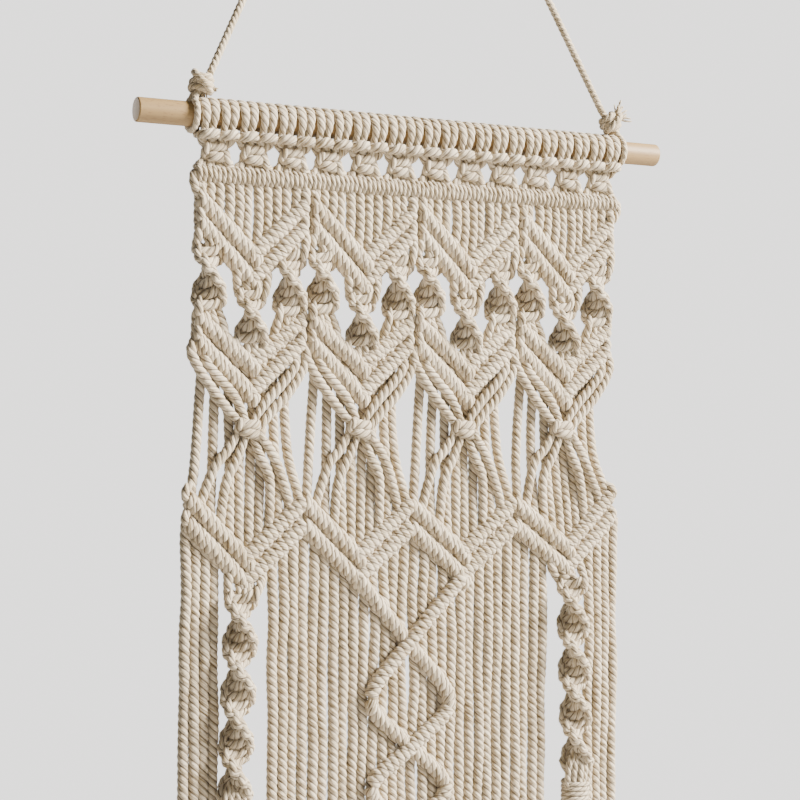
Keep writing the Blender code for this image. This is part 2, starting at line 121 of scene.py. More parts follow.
# %% [markdown]
# Natural cotton cord is made of fine fibres that run along each ply. The light catches
# their fuzz at grazing angles, which the sheen gives, and no part of it is glossy. The cord's
# own UV map has u in millimetres along it and v from 0 to 1 round it, and the map turns with
# the plies. So streaks that are long in u and narrow in v follow the fibres, and at every
# third of v lies a groove between two plies, where the light gets lost: there the colour is
# darkened as painted shade. The yarns within a ply are about a millimetre thick and show as
# they are. The fibres in them, 0.02 mm thick, are too fine to show, and are drawn as streaks
# of a third of a millimetre.

# %% Cotton
# The third colour is painted shade, laid into the grooves between the plies.
COTTON_LIGHT, COTTON_DARK, COTTON_GROOVE_SHADE = "#CABBA1", "#86734F", "#3E2C1C"
PLIES = 3
YARNS_ROUND = 14.0           # yarns that show round the cord, 1.1 mm each
STREAKS_PER_MM = 0.12        # a streak is about 8 mm long
PATCHES_PER_METRE = 60.0     # paler and darker patches, 17 mm across
GROOVE_SHADE_REACH = 0.17          # a ply is 0.5 from groove to middle, so a third of that is dark
#                                  how far yarns and grooves stand out in metres, how dark the
#                                  painted shade in the grooves is
RELIEF_AND_GROOVE_SHADE, THIN_RELIEF_AND_GROOVE_SHADE = (0.0008, 0.9), (0.0004, 0.4)


def make_cotton(name, relief_height, groove_shade_strength):
    material = bpy.data.materials.new(name)
    material.use_nodes = True
    tree = material.node_tree
    shader = tree.nodes["Principled BSDF"]
    for key, value in (("Roughness", 0.92), ("Specular IOR Level", 0.2), ("Sheen Weight", 0.15),
                       ("Sheen Roughness", 0.6)):
        shader.inputs[key].default_value = value
    place = add_node(tree, "ShaderNodeTexCoord")
    along = add_node(tree, "ShaderNodeMapping", {"Scale": (STREAKS_PER_MM, YARNS_ROUND, 1.0)},
                     {"Vector": place.outputs["UV"]})
    yarns = add_node(tree, "ShaderNodeTexNoise", {"Scale": 1.0, "Detail": 3.0, "Roughness": 0.65},
                     {"Vector": along.outputs["Vector"]})
    patches = add_node(tree, "ShaderNodeTexNoise", {"Scale": PATCHES_PER_METRE, "Detail": 2.0},
                       {"Vector": place.outputs["Object"]})
    streaks = add_node(tree, "ShaderNodeMapRange", {"From Min": 0.34, "From Max": 0.58},
                       {"Value": yarns.outputs["Fac"]})
    blend = add_node(tree, "ShaderNodeMath", {"operation": "ADD"},
                     {0: streaks.outputs["Result"], 1: patches.outputs["Fac"]})
    shift = add_node(tree, "ShaderNodeMath", {"operation": "SUBTRACT", "use_clamp": True, 1: 0.45},
                     {0: blend.outputs["Value"]})
    pale = add_node(tree, "ShaderNodeMix",
                    {"data_type": "RGBA", 6: linear(COTTON_DARK), 7: linear(COTTON_LIGHT)},
                    {0: shift.outputs["Value"]})
    # From 0 in the groove between two plies to 1 on the middle of a ply.
    around = add_node(tree, "ShaderNodeSeparateXYZ", links={0: place.outputs["UV"]})
    ply = add_node(tree, "ShaderNodeMath", {"operation": "MULTIPLY", 1: float(PLIES)},
                   {0: around.outputs["Y"]})
    crown = add_node(tree, "ShaderNodeMath", {"operation": "PINGPONG", 1: 0.5},
                     {0: ply.outputs["Value"]})
    # Painted shade: towards each groove between two plies the colour is darkened, where shade would
    # fall.
    painted_shade = add_node(tree, "ShaderNodeMapRange",
                      {"From Max": GROOVE_SHADE_REACH, "To Min": groove_shade_strength, "To Max": 0.0},
                      {"Value": crown.outputs["Value"]})
    colour = add_node(tree, "ShaderNodeMix", {"data_type": "RGBA", 7: linear(COTTON_GROOVE_SHADE)},
                      {0: painted_shade.outputs["Result"], 6: pale.outputs[2]})
    tree.links.new(colour.outputs[2], shader.inputs["Base Color"])
    dip = add_node(tree, "ShaderNodeMath", {"operation": "POWER", 1: 0.5},
                   {0: crown.outputs["Value"]})
    relief = add_node(tree, "ShaderNodeMath", {"operation": "MULTIPLY_ADD", 1: 0.8},
                      {0: yarns.outputs["Fac"], 2: dip.outputs["Value"]})
    bump = add_node(tree, "ShaderNodeBump", {"Strength": 0.9, "Distance": relief_height},
                    {"Height": relief.outputs["Value"]})
    tree.links.new(bump.outputs["Normal"], shader.inputs["Normal"])
    return material


cotton = make_cotton("natural_cotton_cord", *RELIEF_AND_GROOVE_SHADE)
thin_cotton = make_cotton("natural_cotton_thin_cord", *THIN_RELIEF_AND_GROOVE_SHADE)
print("cotton nodes:", len(cotton.node_tree.nodes))

# %% [markdown]
# The dowel is plain sanded beech: straight grain along its length, with the short darker
# flecks of beech, and a matt surface. Its patterns are counted per metre along the dowel and
# across it: bands of grain 170 mm long and 3 mm wide, and flecks of 3 by 0.7 mm.

# %% Beech
GRAIN_ALONG, GRAIN_ACROSS = 6.0, 320.0
FLECKS_ALONG, FLECKS_ACROSS = 300.0, 1500.0
BEECH_DARK, BEECH_LIGHT, BEECH_FLECK = "#785E3C", "#A28658", "#6B4D31"


def make_beech():
    material = bpy.data.materials.new("sanded_beech")
    material.use_nodes = True
    tree = material.node_tree
    shader = tree.nodes["Principled BSDF"]
    shader.inputs["Roughness"].default_value = 0.55
    shader.inputs["Specular IOR Level"].default_value = 0.35
    place = add_node(tree, "ShaderNodeTexCoord")
    grain_scale = add_node(tree, "ShaderNodeMapping",
                           {"Scale": (GRAIN_ALONG, GRAIN_ACROSS, GRAIN_ACROSS)},
                           {"Vector": place.outputs["Object"]})
    grain = add_node(tree, "ShaderNodeTexNoise", {"Scale": 1.0, "Detail": 4.0, "Roughness": 0.65},
                     {"Vector": grain_scale.outputs["Vector"]})
    fleck_scale = add_node(tree, "ShaderNodeMapping",
                           {"Scale": (FLECKS_ALONG, FLECKS_ACROSS, FLECKS_ACROSS)},
                           {"Vector": place.outputs["Object"]})
    flecks = add_node(tree, "ShaderNodeTexNoise", {"Scale": 1.0, "Detail": 1.0},
                      {"Vector": fleck_scale.outputs["Vector"]})
    fleck_mask = add_node(tree, "ShaderNodeMapRange",
                          {"From Min": 0.58, "From Max": 0.68, "To Max": 0.45},
                          {"Value": flecks.outputs["Fac"]})
    wood = add_node(tree, "ShaderNodeMix",
                    {"data_type": "RGBA", 6: linear(BEECH_DARK), 7: linear(BEECH_LIGHT)},
                    {0: grain.outputs["Fac"]})
    flecked = add_node(tree, "ShaderNodeMix", {"data_type": "RGBA", 7: linear(BEECH_FLECK)},
                       {0: fleck_mask.outputs["Result"], 6: wood.outputs[2]})
    tree.links.new(flecked.outputs[2], shader.inputs["Base Color"])
    bump = add_node(tree, "ShaderNodeBump", {"Strength": 0.15, "Distance": 0.0003},
                    {"Height": grain.outputs["Fac"]})
    tree.links.new(bump.outputs["Normal"], shader.inputs["Normal"])
    return material


beech = make_beech()
print("beech nodes:", len(beech.node_tree.nodes))

# %% [markdown]
# A laid cord is three soft plies twisted together, and its section is a rounded trefoil.
# Swept along a path while it turns, that section leaves the slanting ridges that everyone
# knows as rope. Blender's curves do this: the trefoil is the bevel object, each point of the
# path has a tilt, and the tilt grows by a full turn for each lay of 13.9 mm. A model of each
# ply would need three times the faces for the same look.

# %% The section of a three-ply cord
SECTION_POINTS = 12
PLY_DEPTH = 0.08             # the groove between plies, as a share of the radius
LAY = 13.9                   # length of one full turn of the plies, mm
RING_STEP = 1.65             # spacing of the sections along a cord, mm

trefoil = bpy.data.curves.new("three_ply_section", "CURVE")
outline = trefoil.splines.new("POLY")
outline.points.add(SECTION_POINTS - 1)
outline.use_cyclic_u = True
for k in range(SECTION_POINTS):
    turn = 2 * math.pi * k / SECTION_POINTS
    radius = (1.0 - PLY_DEPTH - PLY_DEPTH * math.cos(PLIES * turn)) * MM
    outline.points[k].co = (radius * math.cos(turn), radius * math.sin(turn), 0.0, 1.0)
section = bpy.data.objects.new("three_ply_section", trefoil)
bpy.context.scene.collection.objects.link(section)
print("points in the section:", SECTION_POINTS)

# %% [markdown]
# A path is a short table of points on the way of the cord. Each row holds the point, the
# cord's radius there, the direction in which its neighbours press on it, and how thin and how
# wide the press makes it. A smooth curve through all the rows is read at even steps. Small
# chance shifts keep the knots from looking like copies, and a fixed seed repeats them.

# %% Paths
FINE_STEPS = 8               # between two rows, and the even steps are read from these
rng = random.Random(7)


def row(x, y, z, radius=CORD_RADIUS, press=(0.0, 0.0, 0.0), thin=1.0, wide=1.0):
    return (x, y, z, radius, *press, thin, wide)


def smooth(rows, step):
    """Rows at even steps along a smooth curve through the given rows."""
    table = np.array(rows, float)
    ends = np.vstack([2 * table[0] - table[1], table, 2 * table[-1] - table[-2]])
    t = np.linspace(0.0, 1.0, FINE_STEPS + 1)[:-1, None]
    pieces = []
    for a, b, c, d in zip(ends, ends[1:], ends[2:], ends[3:]):
        pieces.append(0.5 * (2 * b + (c - a) * t + (2 * a - 5 * b + 4 * c - d) * t ** 2
                             + (3 * b - a - 3 * c + d) * t ** 3))
    dense = np.vstack(pieces + [table[-1:]])
    strides = np.linalg.norm(np.diff(dense[:, :3], axis=0), axis=1)
    walked = np.concatenate([[0.0], np.cumsum(strides)])
    count = max(3, int(round(walked[-1] / step)) + 1)
    wanted = np.linspace(0.0, walked[-1], count)
    return np.stack([np.interp(wanted, walked, column) for column in dense.T], axis=1), walked[-1]


def jitter(amount):
    return rng.uniform(-amount, amount)


print("sections along 10 mm:", len(smooth([row(0, 0, 0), row(10, 0, 0)], RING_STEP)[0]))

# %% [markdown]
# Where a cord is pulled tight it is squeezed flat against its neighbours, and its grooves
# close. The swept mesh is a row of rings of points, so one function can press every ring as its
# row says, all of them at once. A lattice modifier on each knot would do it too, but there are
# hundreds of knots.

# %% Pressed cords
PLIES_CLOSE = 1.2            # how fast the grooves close as a cord is pressed thin
PRESS_FROM = 0.3             # between a free row and a pressed one, the press begins here


def press_rings(mesh, rows, counts):
    """Flatten each ring of points as its row says, and close the grooves of a pressed cord."""
    points = np.zeros(len(mesh.vertices) * 3)
    mesh.vertices.foreach_get("co", points)
    rings = points.reshape(len(rows), SECTION_POINTS, 3)
    centres = rows[:, None, :3]
    thin, wide = rows[:, 7], rows[:, 8]
    lengths = np.linalg.norm(rows[:, 4:7], axis=1)
    press = rows[:, 4:7] / np.maximum(lengths, 1e-9)[:, None]
    ahead = np.zeros_like(press)
    start = 0
    for count in counts:
        ahead[start:start + count] = np.gradient(rows[start:start + count, :3], axis=0)
        start += count
    ahead /= np.maximum(np.linalg.norm(ahead, axis=1), 1e-12)[:, None]
    press -= ahead * (press * ahead).sum(1)[:, None]
    press /= np.maximum(np.linalg.norm(press, axis=1), 1e-9)[:, None]
    across = np.cross(ahead, press)
    held = (lengths > PRESS_FROM)[:, None, None]
    offset = rings - centres
    along_press = (offset * press[:, None, :]).sum(2, keepdims=True)
    along_width = (offset * across[:, None, :]).sum(2, keepdims=True)
    reach = np.linalg.norm(offset, axis=2, keepdims=True)
    closed = np.clip(PLIES_CLOSE * (1.0 - thin), 0.0, 1.0)[:, None, None]
    rings += offset * (reach.mean(1, keepdims=True) / np.maximum(reach, 1e-9) - 1.0) * closed
    moved = (press[:, None, :] * along_press * (thin - 1.0)[:, None, None]
             + across[:, None, :] * along_width * (wide - 1.0)[:, None, None])
    rings += np.where(held, moved, 0.0)
    mesh.vertices.foreach_set("co", rings.ravel())


print("share of the grooves closed at half thickness:", PLIES_CLOSE / 2)

# %% [markdown]
# A curve gives its mesh a map that runs from 0 to 1 along every cord, long or short. The
# cotton needs true lengths, so u is multiplied by the cord's own. Each cord also starts at a
# place of its own in the pattern, so that no two show the same streaks.

# %% The map along a cord
MAP_STARTS = 500.0           # a cord's map starts somewhere in this length, mm


def measure_uv(mesh, sampled, lengths):
    """Give u the cord's length in millimetres, and start each cord at a place of its own."""
    layer = mesh.uv_layers[0].data
    uv = np.zeros(len(layer) * 2)
    layer.foreach_get("uv", uv)
    uv = uv.reshape(-1, 2)
    start = 0
    for table, length in zip(sampled, lengths):
        loops = (len(table) - 1) * SECTION_POINTS * 4
        own_start = rng.uniform(0, MAP_STARTS)
        uv[start:start + loops, 0] = uv[start:start + loops, 0] * length + own_start
        start += loops
    layer.foreach_set("uv", uv.ravel())


print("length of a streak on the map, mm:", round(1 / STREAKS_PER_MM, 1))

# %% [markdown]
# Here the paths of one piece become its mesh. The curve object sweeps the section along them
# and makes the rings of points in order. They are pressed and mapped, and then the open ends
# are filled. The parts of the CAD model that the piece stands for are hidden.

# %% Cords to a mesh
total_triangles = 0
total_length = 0.0


def sweep(name, paths, lay, step):
    """The mesh of all the given paths, and the rows and the length of each."""
    curve = bpy.data.curves.new(name, "CURVE")
    curve.dimensions = "3D"
    curve.bevel_mode = "OBJECT"
    curve.bevel_object = section
    curve.twist_mode = "MINIMUM"
    sampled, lengths = [], []
    for path in paths:
        table, length = smooth(path, step)
        table[:, :3] = to_scene(table[:, :3])
        count = len(table)
        spline = curve.splines.new("POLY")
        spline.points.add(count - 1)
        spline.points.foreach_set("co", np.column_stack([table[:, :3], np.ones(count)]).ravel())
        spline.points.foreach_set("radius", table[:, 3])
        tilt = rng.uniform(0, 2 * math.pi) - 2 * math.pi * np.linspace(0, length, count) / lay
        spline.points.foreach_set("tilt", tilt)
        sampled.append(table)
        lengths.append(length)
    item = bpy.data.objects.new(name, curve)
    bpy.context.scene.collection.objects.link(item)
    swept = item.evaluated_get(bpy.context.evaluated_depsgraph_get())
    mesh = bpy.data.meshes.new_from_object(swept)
    bpy.data.objects.remove(item)
    return mesh, sampled, lengths


def lay_cords(name, paths, nodes, lay=LAY, step=RING_STEP, material=cotton):
    """One piece of all the given paths, which stands for the CAD nodes."""
    global total_triangles, total_length
    mesh, sampled, lengths = sweep(name, paths, lay, step)
    press_rings(mesh, np.vstack(sampled), [len(table) for table in sampled])
    measure_uv(mesh, sampled, lengths)
    shape = bmesh.new()
    shape.from_mesh(mesh)
    rims = [edge for edge in shape.edges if edge.is_boundary]
    bmesh.ops.holes_fill(shape, edges=rims, sides=0)
    bmesh.ops.recalc_face_normals(shape, faces=shape.faces)
    shape.to_mesh(mesh)
    shape.free()
    mesh.shade_smooth()
    mesh.materials.clear()
    mesh.materials.append(material)
    mesh.name = name
    piece = bpy.data.objects.new(name, mesh)
    bpy.context.scene.collection.objects.link(piece)
    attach(piece, "root")
    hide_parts(*nodes)
    triangles = sum(len(face.vertices) - 2 for face in mesh.polygons)
    total_triangles += triangles
    total_length += sum(lengths)
    print(f"{name}: {len(paths)} cords, {sum(lengths) / 1000:.2f} m, {triangles} triangles")
    return piece


# %% [markdown]
# The dowel comes first. A cylinder whose edges are broken with a bevel is all it is.

# %% Dowel
BROKEN_EDGE = 0.9            # mm
shape = bmesh.new()
bmesh.ops.create_cone(shape, cap_ends=True, segments=96, radius1=DOWEL_RADIUS * MM,
                      radius2=DOWEL_RADIUS * MM, depth=DOWEL_LENGTH * MM,
                      matrix=Matrix.Rotation(math.pi / 2, 4, "Y"))
rims = [edge for edge in shape.edges if len({round(v.co.x, 5) for v in edge.verts}) == 1]
bmesh.ops.bevel(shape, geom=rims, offset=BROKEN_EDGE * MM, segments=4, profile=0.5,
                affect="EDGES", material=-1)
bmesh.ops.translate(shape, verts=shape.verts, vec=Vector(DOWEL_FROM_HOOK * MM))
mesh = bpy.data.meshes.new("dowel_rod")
shape.to_mesh(mesh)
shape.free()
mesh.shade_smooth()
mesh.set_sharp_from_angle(angle=math.radians(60))
mesh.materials.append(beech)
dowel_rod = bpy.data.objects.new("dowel_rod", mesh)
bpy.context.scene.collection.objects.link(dowel_rod)
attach(dowel_rod, "root")
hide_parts("dowel")
print("dowel box, mm:", [round(v * 1000, 1) for v in dowel_rod.dimensions])

# %% [markdown]
# Each cord is folded in two and hung on the dowel with a lark's head. Seen from the front,
# its two ends come over the dowel side by side and pass behind the fold, which lies across
# them as a short bar. The tight wraps are pressed flat against the wood, and on the front
# they draw together towards the bar. Half a head is worked out, and the other half mirrors it.

# %% Lark's heads
HEADS = GROUPS * CORDS_PER_GROUP // 2
WRAP_HALF = 1.8              # half the thickness of a cord pressed on the wood
WRAP_RADIUS = DOWEL_RADIUS + WRAP_HALF
WRAP_APART = 2.95            # from the middle of a head to the middle of either wrap
WRAP_THIN, WRAP_WIDE = 0.74, 1.26
#            x     y     z      radius
HEAD_TAIL = ((2.9, -2.6, -14.5, CORD_RADIUS), (2.4, -4.0, -10.5, CORD_RADIUS))
HEAD_FOLD = ((4.4, 2.6, -10.4, 2.3), (4.6, -2.6, -11.8, 2.3), (4.5, -6.4, -11.6, 2.6),
             (2.9, -8.1, -11.2, 3.0))
HEAD_BAR = (-8.5, -11.1, 3.1)        # depth, height and radius in the bar's middle


def wrap_over_dowel():
    """Rows from the front of the dowel over its top and down its back."""
    rows = []
    for degrees in range(-46, 229, 25):
        turn = math.radians(degrees)
        low = min(1.0, max(0.0, (40 - degrees) / 80))
        under = max(0.0, (degrees - 170) / 60)
        away = (0.0, -math.cos(turn), math.sin(turn))
        rows.append(row(WRAP_APART - 0.7 * low + 1.0 * under, WRAP_RADIUS * away[1],
                        WRAP_RADIUS * away[2], press=away, thin=WRAP_THIN,
                        wide=WRAP_WIDE - 0.32 * low))
    return rows


def larks_head(x):
    """A tail, over the dowel, round its back, the fold across the front, and the same again."""
    half = [row(*r) for r in HEAD_TAIL] + wrap_over_dowel() + [row(*r) for r in HEAD_FOLD]
    slope = 0.5 + jitter(0.4)
    left = [(-r[0] + x, *r[1:]) for r in half]
    right = [(r[0] + x, *r[1:]) for r in half]
    for side, rows in ((-1, left), (1, right)):
        last = rows[-1]
        rows[-1] = (last[0], last[1], last[2] + side * slope, *last[3:])
    depth, height, radius = HEAD_BAR
    middle = [row(x, depth, height + jitter(0.3), radius)]
    return left + middle + right[::-1]


heads = [larks_head(WEAVE_LEFT + (k + 0.5) * 2 * CORD_PITCH) for k in range(HEADS)]
lay_cords("larks_heads", heads, ["larks_head_heading"])

# %% [markdown]
# Square knots and half-knot spirals are made of one thing, the half knot. The left cord goes
# in front of the two in the middle, dives between them and the right cord, and comes out
# behind that one's bend. The right cord does the same the other way round, behind the middle.
# Half a turn about the knot's own axis brings the one path onto the other, so a single table
# gives both. Heights in it are shares of the height of one half knot. The short spirals are
# tied fuller than the long ones: their bars stand out about a millimetre further between
# the edges. So each kind has a table.

# %% Half knots
#              across  depth  height
LONG_OVER = ((-8.2, 0.0, 0.28), (-7.6, -1.9, 0.03), (-4.6, -1.7, -0.03), (0.0, -1.4, 0.0),
             (3.0, -1.5, 0.12), (4.8, -0.2, 0.42), (6.0, 2.3, 0.44), (7.6, 3.0, 0.02),
             (8.4, 1.6, -0.44))
SHORT_OVER = ((-8.1, 0.2, 0.28), (-7.4, -1.5, 0.03), (-4.4, -2.5, -0.03), (0.0, -2.7, 0.0),
              (3.0, -2.3, 0.14), (4.6, -0.4, 0.46), (5.9, 2.1, 0.44), (7.5, 2.5, 0.02),
              (8.4, 1.3, -0.44))
EDGE_REACH = 6.5             # from here outwards a cord runs along the knot's edge
EDGE_THIN, EDGE_WIDE = 0.98, 1.04


def other_way(over):
    """The path of the other cord, half a turn about the knot's axis away."""
    return tuple((-across, -depth, height) for across, depth, height in over)


def tie(turns, place_of, flat=0.7, wide=1.26):
    """Rows of one cord through some half knots: its table and side in each, from the top."""
    rows = []
    for knot, (table, side) in enumerate(turns):
        for across, deep, height in table:
            point, press = place_of(side * across, deep, height - knot)
            if abs(across) > EDGE_REACH:
                rows.append(row(*point, press=press, thin=EDGE_THIN, wide=EDGE_WIDE))
            else:
                rows.append(row(*point, press=press, thin=flat, wide=wide))
    return rows


print("points of a half knot:", len(SHORT_OVER))

# %% [markdown]
# Under the heads, four cords at a time are tied in a square knot: a half knot from the one
# side and then one from the other. Then the same cord lies in front in both halves, and the
# other makes the small upright loop at the knot's left edge. A square knot is pulled wider than
# a spiral, so it has a table of its own. The eye holes between the knots come by themselves.

# %% Square knots
#               across  depth  height
SQUARE_OVER = ((-8.9, 0.2, 0.22), (-8.0, -1.6, 0.02), (-4.6, -2.4, -0.04), (0.0, -2.6, 0.0),
               (4.2, -2.4, 0.05), (6.2, -0.6, 0.20), (6.9, 2.2, 0.18), (8.0, 2.9, -0.12),
               (9.2, 1.4, -0.46))
SQUARE_THIN, SQUARE_WIDE = 0.8, 1.3
INSIDE_RADIUS = 2.2          # a cord squeezed inside a knot


def square_knot(x, z, width, rise, depth=0.0, tilt=0.0):
    """Rows of the four cords in one square knot: left, right and the two in the middle."""
    def place_of(across, deep, height):
        point = (x + across * width, depth + deep, z + (height + 0.5) * rise + tilt * across)
        return point, (0.0, 1.0, 0.0)

    def passing(side):
        aside = x + side * INSIDE_RADIUS
        return [row(aside, depth, z + share * rise, INSIDE_RADIUS) for share in (0.8, 0.0, -0.8)]

    def both_halves(table):
        return tie(((table, 1), (table, -1)), place_of, flat=SQUARE_THIN, wide=SQUARE_WIDE)
    return both_halves(SQUARE_OVER), both_halves(other_way(SQUARE_OVER)), passing(-1), passing(1)


print("points of half a square knot:", len(SQUARE_OVER))

# %% [markdown]
# The row has twelve square knots. Above each, its four cords come from two lark's heads, and
# below it they go on to the level bar.

# %% The row of square knots
SQUARE_KNOT_MIDDLE = -20.7
SQUARE_KNOT_WIDTH, SQUARE_KNOT_RISE = 0.74, 6.0
SQUARE_KNOT_TOP, SQUARE_KNOT_BOTTOM = -11.0, -30.5
CORDS_IN_KNOT = 4
for k in range(GROUPS * CORDS_PER_GROUP // CORDS_IN_KNOT):
    middle = WEAVE_LEFT + (CORDS_IN_KNOT * k + CORDS_IN_KNOT / 2) * CORD_PITCH
    inner = square_knot(middle + jitter(0.3), SQUARE_KNOT_MIDDLE + jitter(0.3), SQUARE_KNOT_WIDTH,
                        SQUARE_KNOT_RISE, depth=-1.0, tilt=jitter(0.03))
    paths = []
    for place_in_knot, rows in zip((-1.5, 1.5, -0.5, 0.5), inner):
        x = middle + place_in_knot * CORD_PITCH
        enter = [row(x, -2.0, SQUARE_KNOT_TOP, FREE_RADIUS),
                 row(x, -2.6, SQUARE_KNOT_TOP - 2.6, FREE_RADIUS)]
        leave = [row(x, -0.4, SQUARE_KNOT_BOTTOM + 3.2, FREE_RADIUS),
                 row(x, 1.2, SQUARE_KNOT_BOTTOM, FREE_RADIUS)]
        paths.append(enter + rows + leave)
    lay_cords(f"square_knot_cords_{k + 1:02d}", paths, [f"square_knot_{k + 1:02d}"])

# %% [markdown]
# A double half hitch is two tight turns of a cord round another cord, the holding cord. Rows
# of them make the level bar, the chevrons, the zigzag and the lattice, so one function ties
# them all: it is given a point on the holding cord, the direction in which that runs, the
# radius of the turns and how far one turn lies beside the next. Angles are counted from the
# front, over the top and down the back.

# %% Double half hitches
HITCH_FROM, HITCH_TO, HITCH_STEPS = 115.0, -475.0, 13
HITCH_PITCH = 3.9
HITCH_THIN, HITCH_WIDE = 0.68, 1.18
HELD_RADIUS = 1.9            # a holding cord, squeezed by the hitches round it


def hitch(middle, ahead, radius, pitch=HITCH_PITCH, thin=HITCH_THIN, wide=HITCH_WIDE):
    """The path of the two turns of one cord round the holding cord."""
    middle, ahead = np.array(middle, float), np.array(ahead, float)
    ahead /= np.linalg.norm(ahead)
    front = np.array((0.0, -1.0, 0.0))
    up = np.cross(ahead, front)
    if up[2] < 0:
        up = -up
    swell = 1.0 + jitter(0.06)
    middle += ahead * jitter(0.25)
    rows = []
    for k in range(HITCH_STEPS + 1):
        degrees = HITCH_FROM + (HITCH_TO - HITCH_FROM) * k / HITCH_STEPS
        turn = math.radians(degrees)
        away = front * math.cos(turn) + up * math.sin(turn)
        spot = middle + ahead * pitch * (-degrees / 360 - 0.5) + away * radius * swell
        rows.append(row(*spot, press=away, thin=thin, wide=wide))
    return rows


print("turns of a hitch:", round((HITCH_FROM - HITCH_TO) / 360, 2))

# %% [markdown]
# The level bar: every cord is hitched on one holding cord that lies straight across. There
# are two turns in each 5.9 mm, so the turns are squeezed to little more than half of their
# free width. At either end the holding cord comes out and turns down to the row below.

# %% Level bar
BAR_MIDDLE = -33.0
BAR_RADIUS, BAR_THIN, BAR_WIDE = 4.1, 0.75, 0.66
BAR_CORE_RADIUS = 2.1
#           inwards depth rise  radius
BAR_END = ((2.5, 0.0, 0.5, 2.6), (-0.8, -1.4, 0.0, 2.8), (-1.6, -2.0, -4.5, 2.8),
           (0.2, -1.6, -9.5, 2.7), (3.0, 0.0, -13.0, 2.6))
bar = []
for k in range(GROUPS * CORDS_PER_GROUP):
    x = WEAVE_LEFT + (k + 0.5) * CORD_PITCH
    bar.append(hitch((x, 0.0, BAR_MIDDLE + jitter(0.15)), (1, 0, 0), BAR_RADIUS, CORD_PITCH / 2,
                     thin=BAR_THIN, wide=BAR_WIDE))
weave_right = WEAVE_LEFT + GROUPS * GROUP_WIDTH
bar.append([row(x, 0.0, BAR_MIDDLE, BAR_CORE_RADIUS) for x in (WEAVE_LEFT, weave_right)])
for edge, inwards in ((WEAVE_LEFT, 1), (weave_right, -1)):
    bar.append([row(edge + inwards * aside, deep, BAR_MIDDLE + rise, radius)
                for aside, deep, rise, radius in BAR_END])
lay_cords("hitch_bar_cords", bar, ["hitch_bar"])

# %% [markdown]
# A chevron is made of two rows of hitches on each arm. Its table gives the height of its
# middle line, and how far the two rows lie from that line, at the tip and at the outer ends.

# %% Chevron lines
#                tip_mid end_mid tip_roll end_roll
UPPER_CHEVRON = (-84.5, -51.3, 7.4, 6.4)
LOWER_CHEVRON = (-147.8, -118.0, 8.6, 6.4)
CHEVRON_HALF_WIDTH = 34.9
ARM_CORDS = 6
ARM_PITCH = 5.4              # the hitches are packed closer than the cords hang


def cord_offset(k):
    """How far a cord hangs from the middle of its group."""
    return (k + 0.5 - CORDS_PER_GROUP / 2) * CORD_PITCH


def roll_height(chevron, offset, roll):
    """Height of the upper (+1) or lower (-1) row's holding cord."""
    tip_mid, end_mid, tip_roll, end_roll = chevron
    share = abs(offset) / CHEVRON_HALF_WIDTH
    return tip_mid + (end_mid - tip_mid) * share + roll * (tip_roll + (end_roll - tip_roll) * share)


print("arm of an upper chevron, mm down:", round(UPPER_CHEVRON[1] - UPPER_CHEVRON[0], 1))


# %% [markdown]
# Between the bar and the upper chevrons the cords show as plain straight lengths.

# %% Cords above the chevrons
rows_of_cords = []
for middle in GROUP_MIDDLES:
    for k in range(CORDS_PER_GROUP):
        x = middle + cord_offset(k)
        bottom = roll_height(UPPER_CHEVRON, cord_offset(k), 1)
        half_way = (BAR_MIDDLE + bottom) / 2
        rows_of_cords.append([row(x, 0.5, BAR_MIDDLE, FREE_RADIUS),
                              row(x + jitter(1.1), -0.4 + jitter(0.5), half_way, FREE_RADIUS),
                              row(x, 1.0, bottom, FREE_RADIUS)])
lay_cords("cord_row_lengths", rows_of_cords, ["cord_rows"])

# %% [markdown]
# Each row of an arm has six hitches, packed a little closer than the cords hang. The row's
# holding cord runs inside them, and comes in as a loop at the outer end, because the
# outermost cord is always the next one to be held. One more hitch closes each row at the tip,
# where the two arms meet. Short lengths of the hanging cords show between the two rows.

# %% Chevrons
UPPER_HITCH_RADIUS, LOWER_HITCH_RADIUS = 3.7, 3.9
#            aside depth rise  radius
ARM_LOOP = ((29.5, 1.5, 9.0, 2.6), (31.7, -1.2, 6.0, 2.9), (32.2, -2.2, 1.0, 2.9),
            (30.6, -1.0, -2.6, 2.7))
LOOP_FOOT = 33.5             # the loop's rises are counted from the row's height here
HELD_ENDS = (27.0, 1.0)      # the holding cord runs straight from here to here
CLOSING_PLACE = (1.6, -0.4, -2.2)    # of a row's last hitch, from the row's tip
CLOSING_WAY = (1.0, 0.0, -1.0)
CLOSING_TIGHTER = 0.4        # so much less than the radius of the other hitches


def chevron_arm(middle, chevron, side, roll, radius):
    """The hitches on one row of one arm, and its holding cord."""
    def spot(offset):
        return np.array((middle + offset, 0.0, roll_height(chevron, offset, roll)))
    paths = []
    for k in range(ARM_CORDS):
        offset = side * (k + 0.5) * ARM_PITCH
        paths.append(hitch(spot(offset), spot(offset - side) - spot(offset + side), radius))
    foot = spot(side * LOOP_FOOT)[2]
    loop = [row(middle + side * aside, deep, foot + rise, thick)
            for aside, deep, rise, thick in ARM_LOOP]
    return paths + [loop + [row(*spot(side * offset), HELD_RADIUS) for offset in HELD_ENDS]]


def tie_chevrons(name, chevron, radius, nodes):
    """Both rows of both arms for each group, each row's closing hitch, and the cords between."""
    aside, deep, rise = CLOSING_PLACE
    for group, middle in enumerate(GROUP_MIDDLES):
        paths = []
        for roll in (1, -1):
            for side in (-1, 1):
                paths += chevron_arm(middle, chevron, side, roll, radius)
            closing = (middle + aside, deep, roll_height(chevron, 0.0, roll) + rise)
            paths.append(hitch(closing, CLOSING_WAY, radius - CLOSING_TIGHTER))
        for k in range(CORDS_PER_GROUP):
            offset = cord_offset(k)
            paths.append([row(middle + offset, 1.0, roll_height(chevron, offset, roll), FREE_RADIUS)
                          for roll in (1, -1)])
        lay_cords(f"{name}_{group + 1}", paths, [f"{nodes}_{group + 1}"])


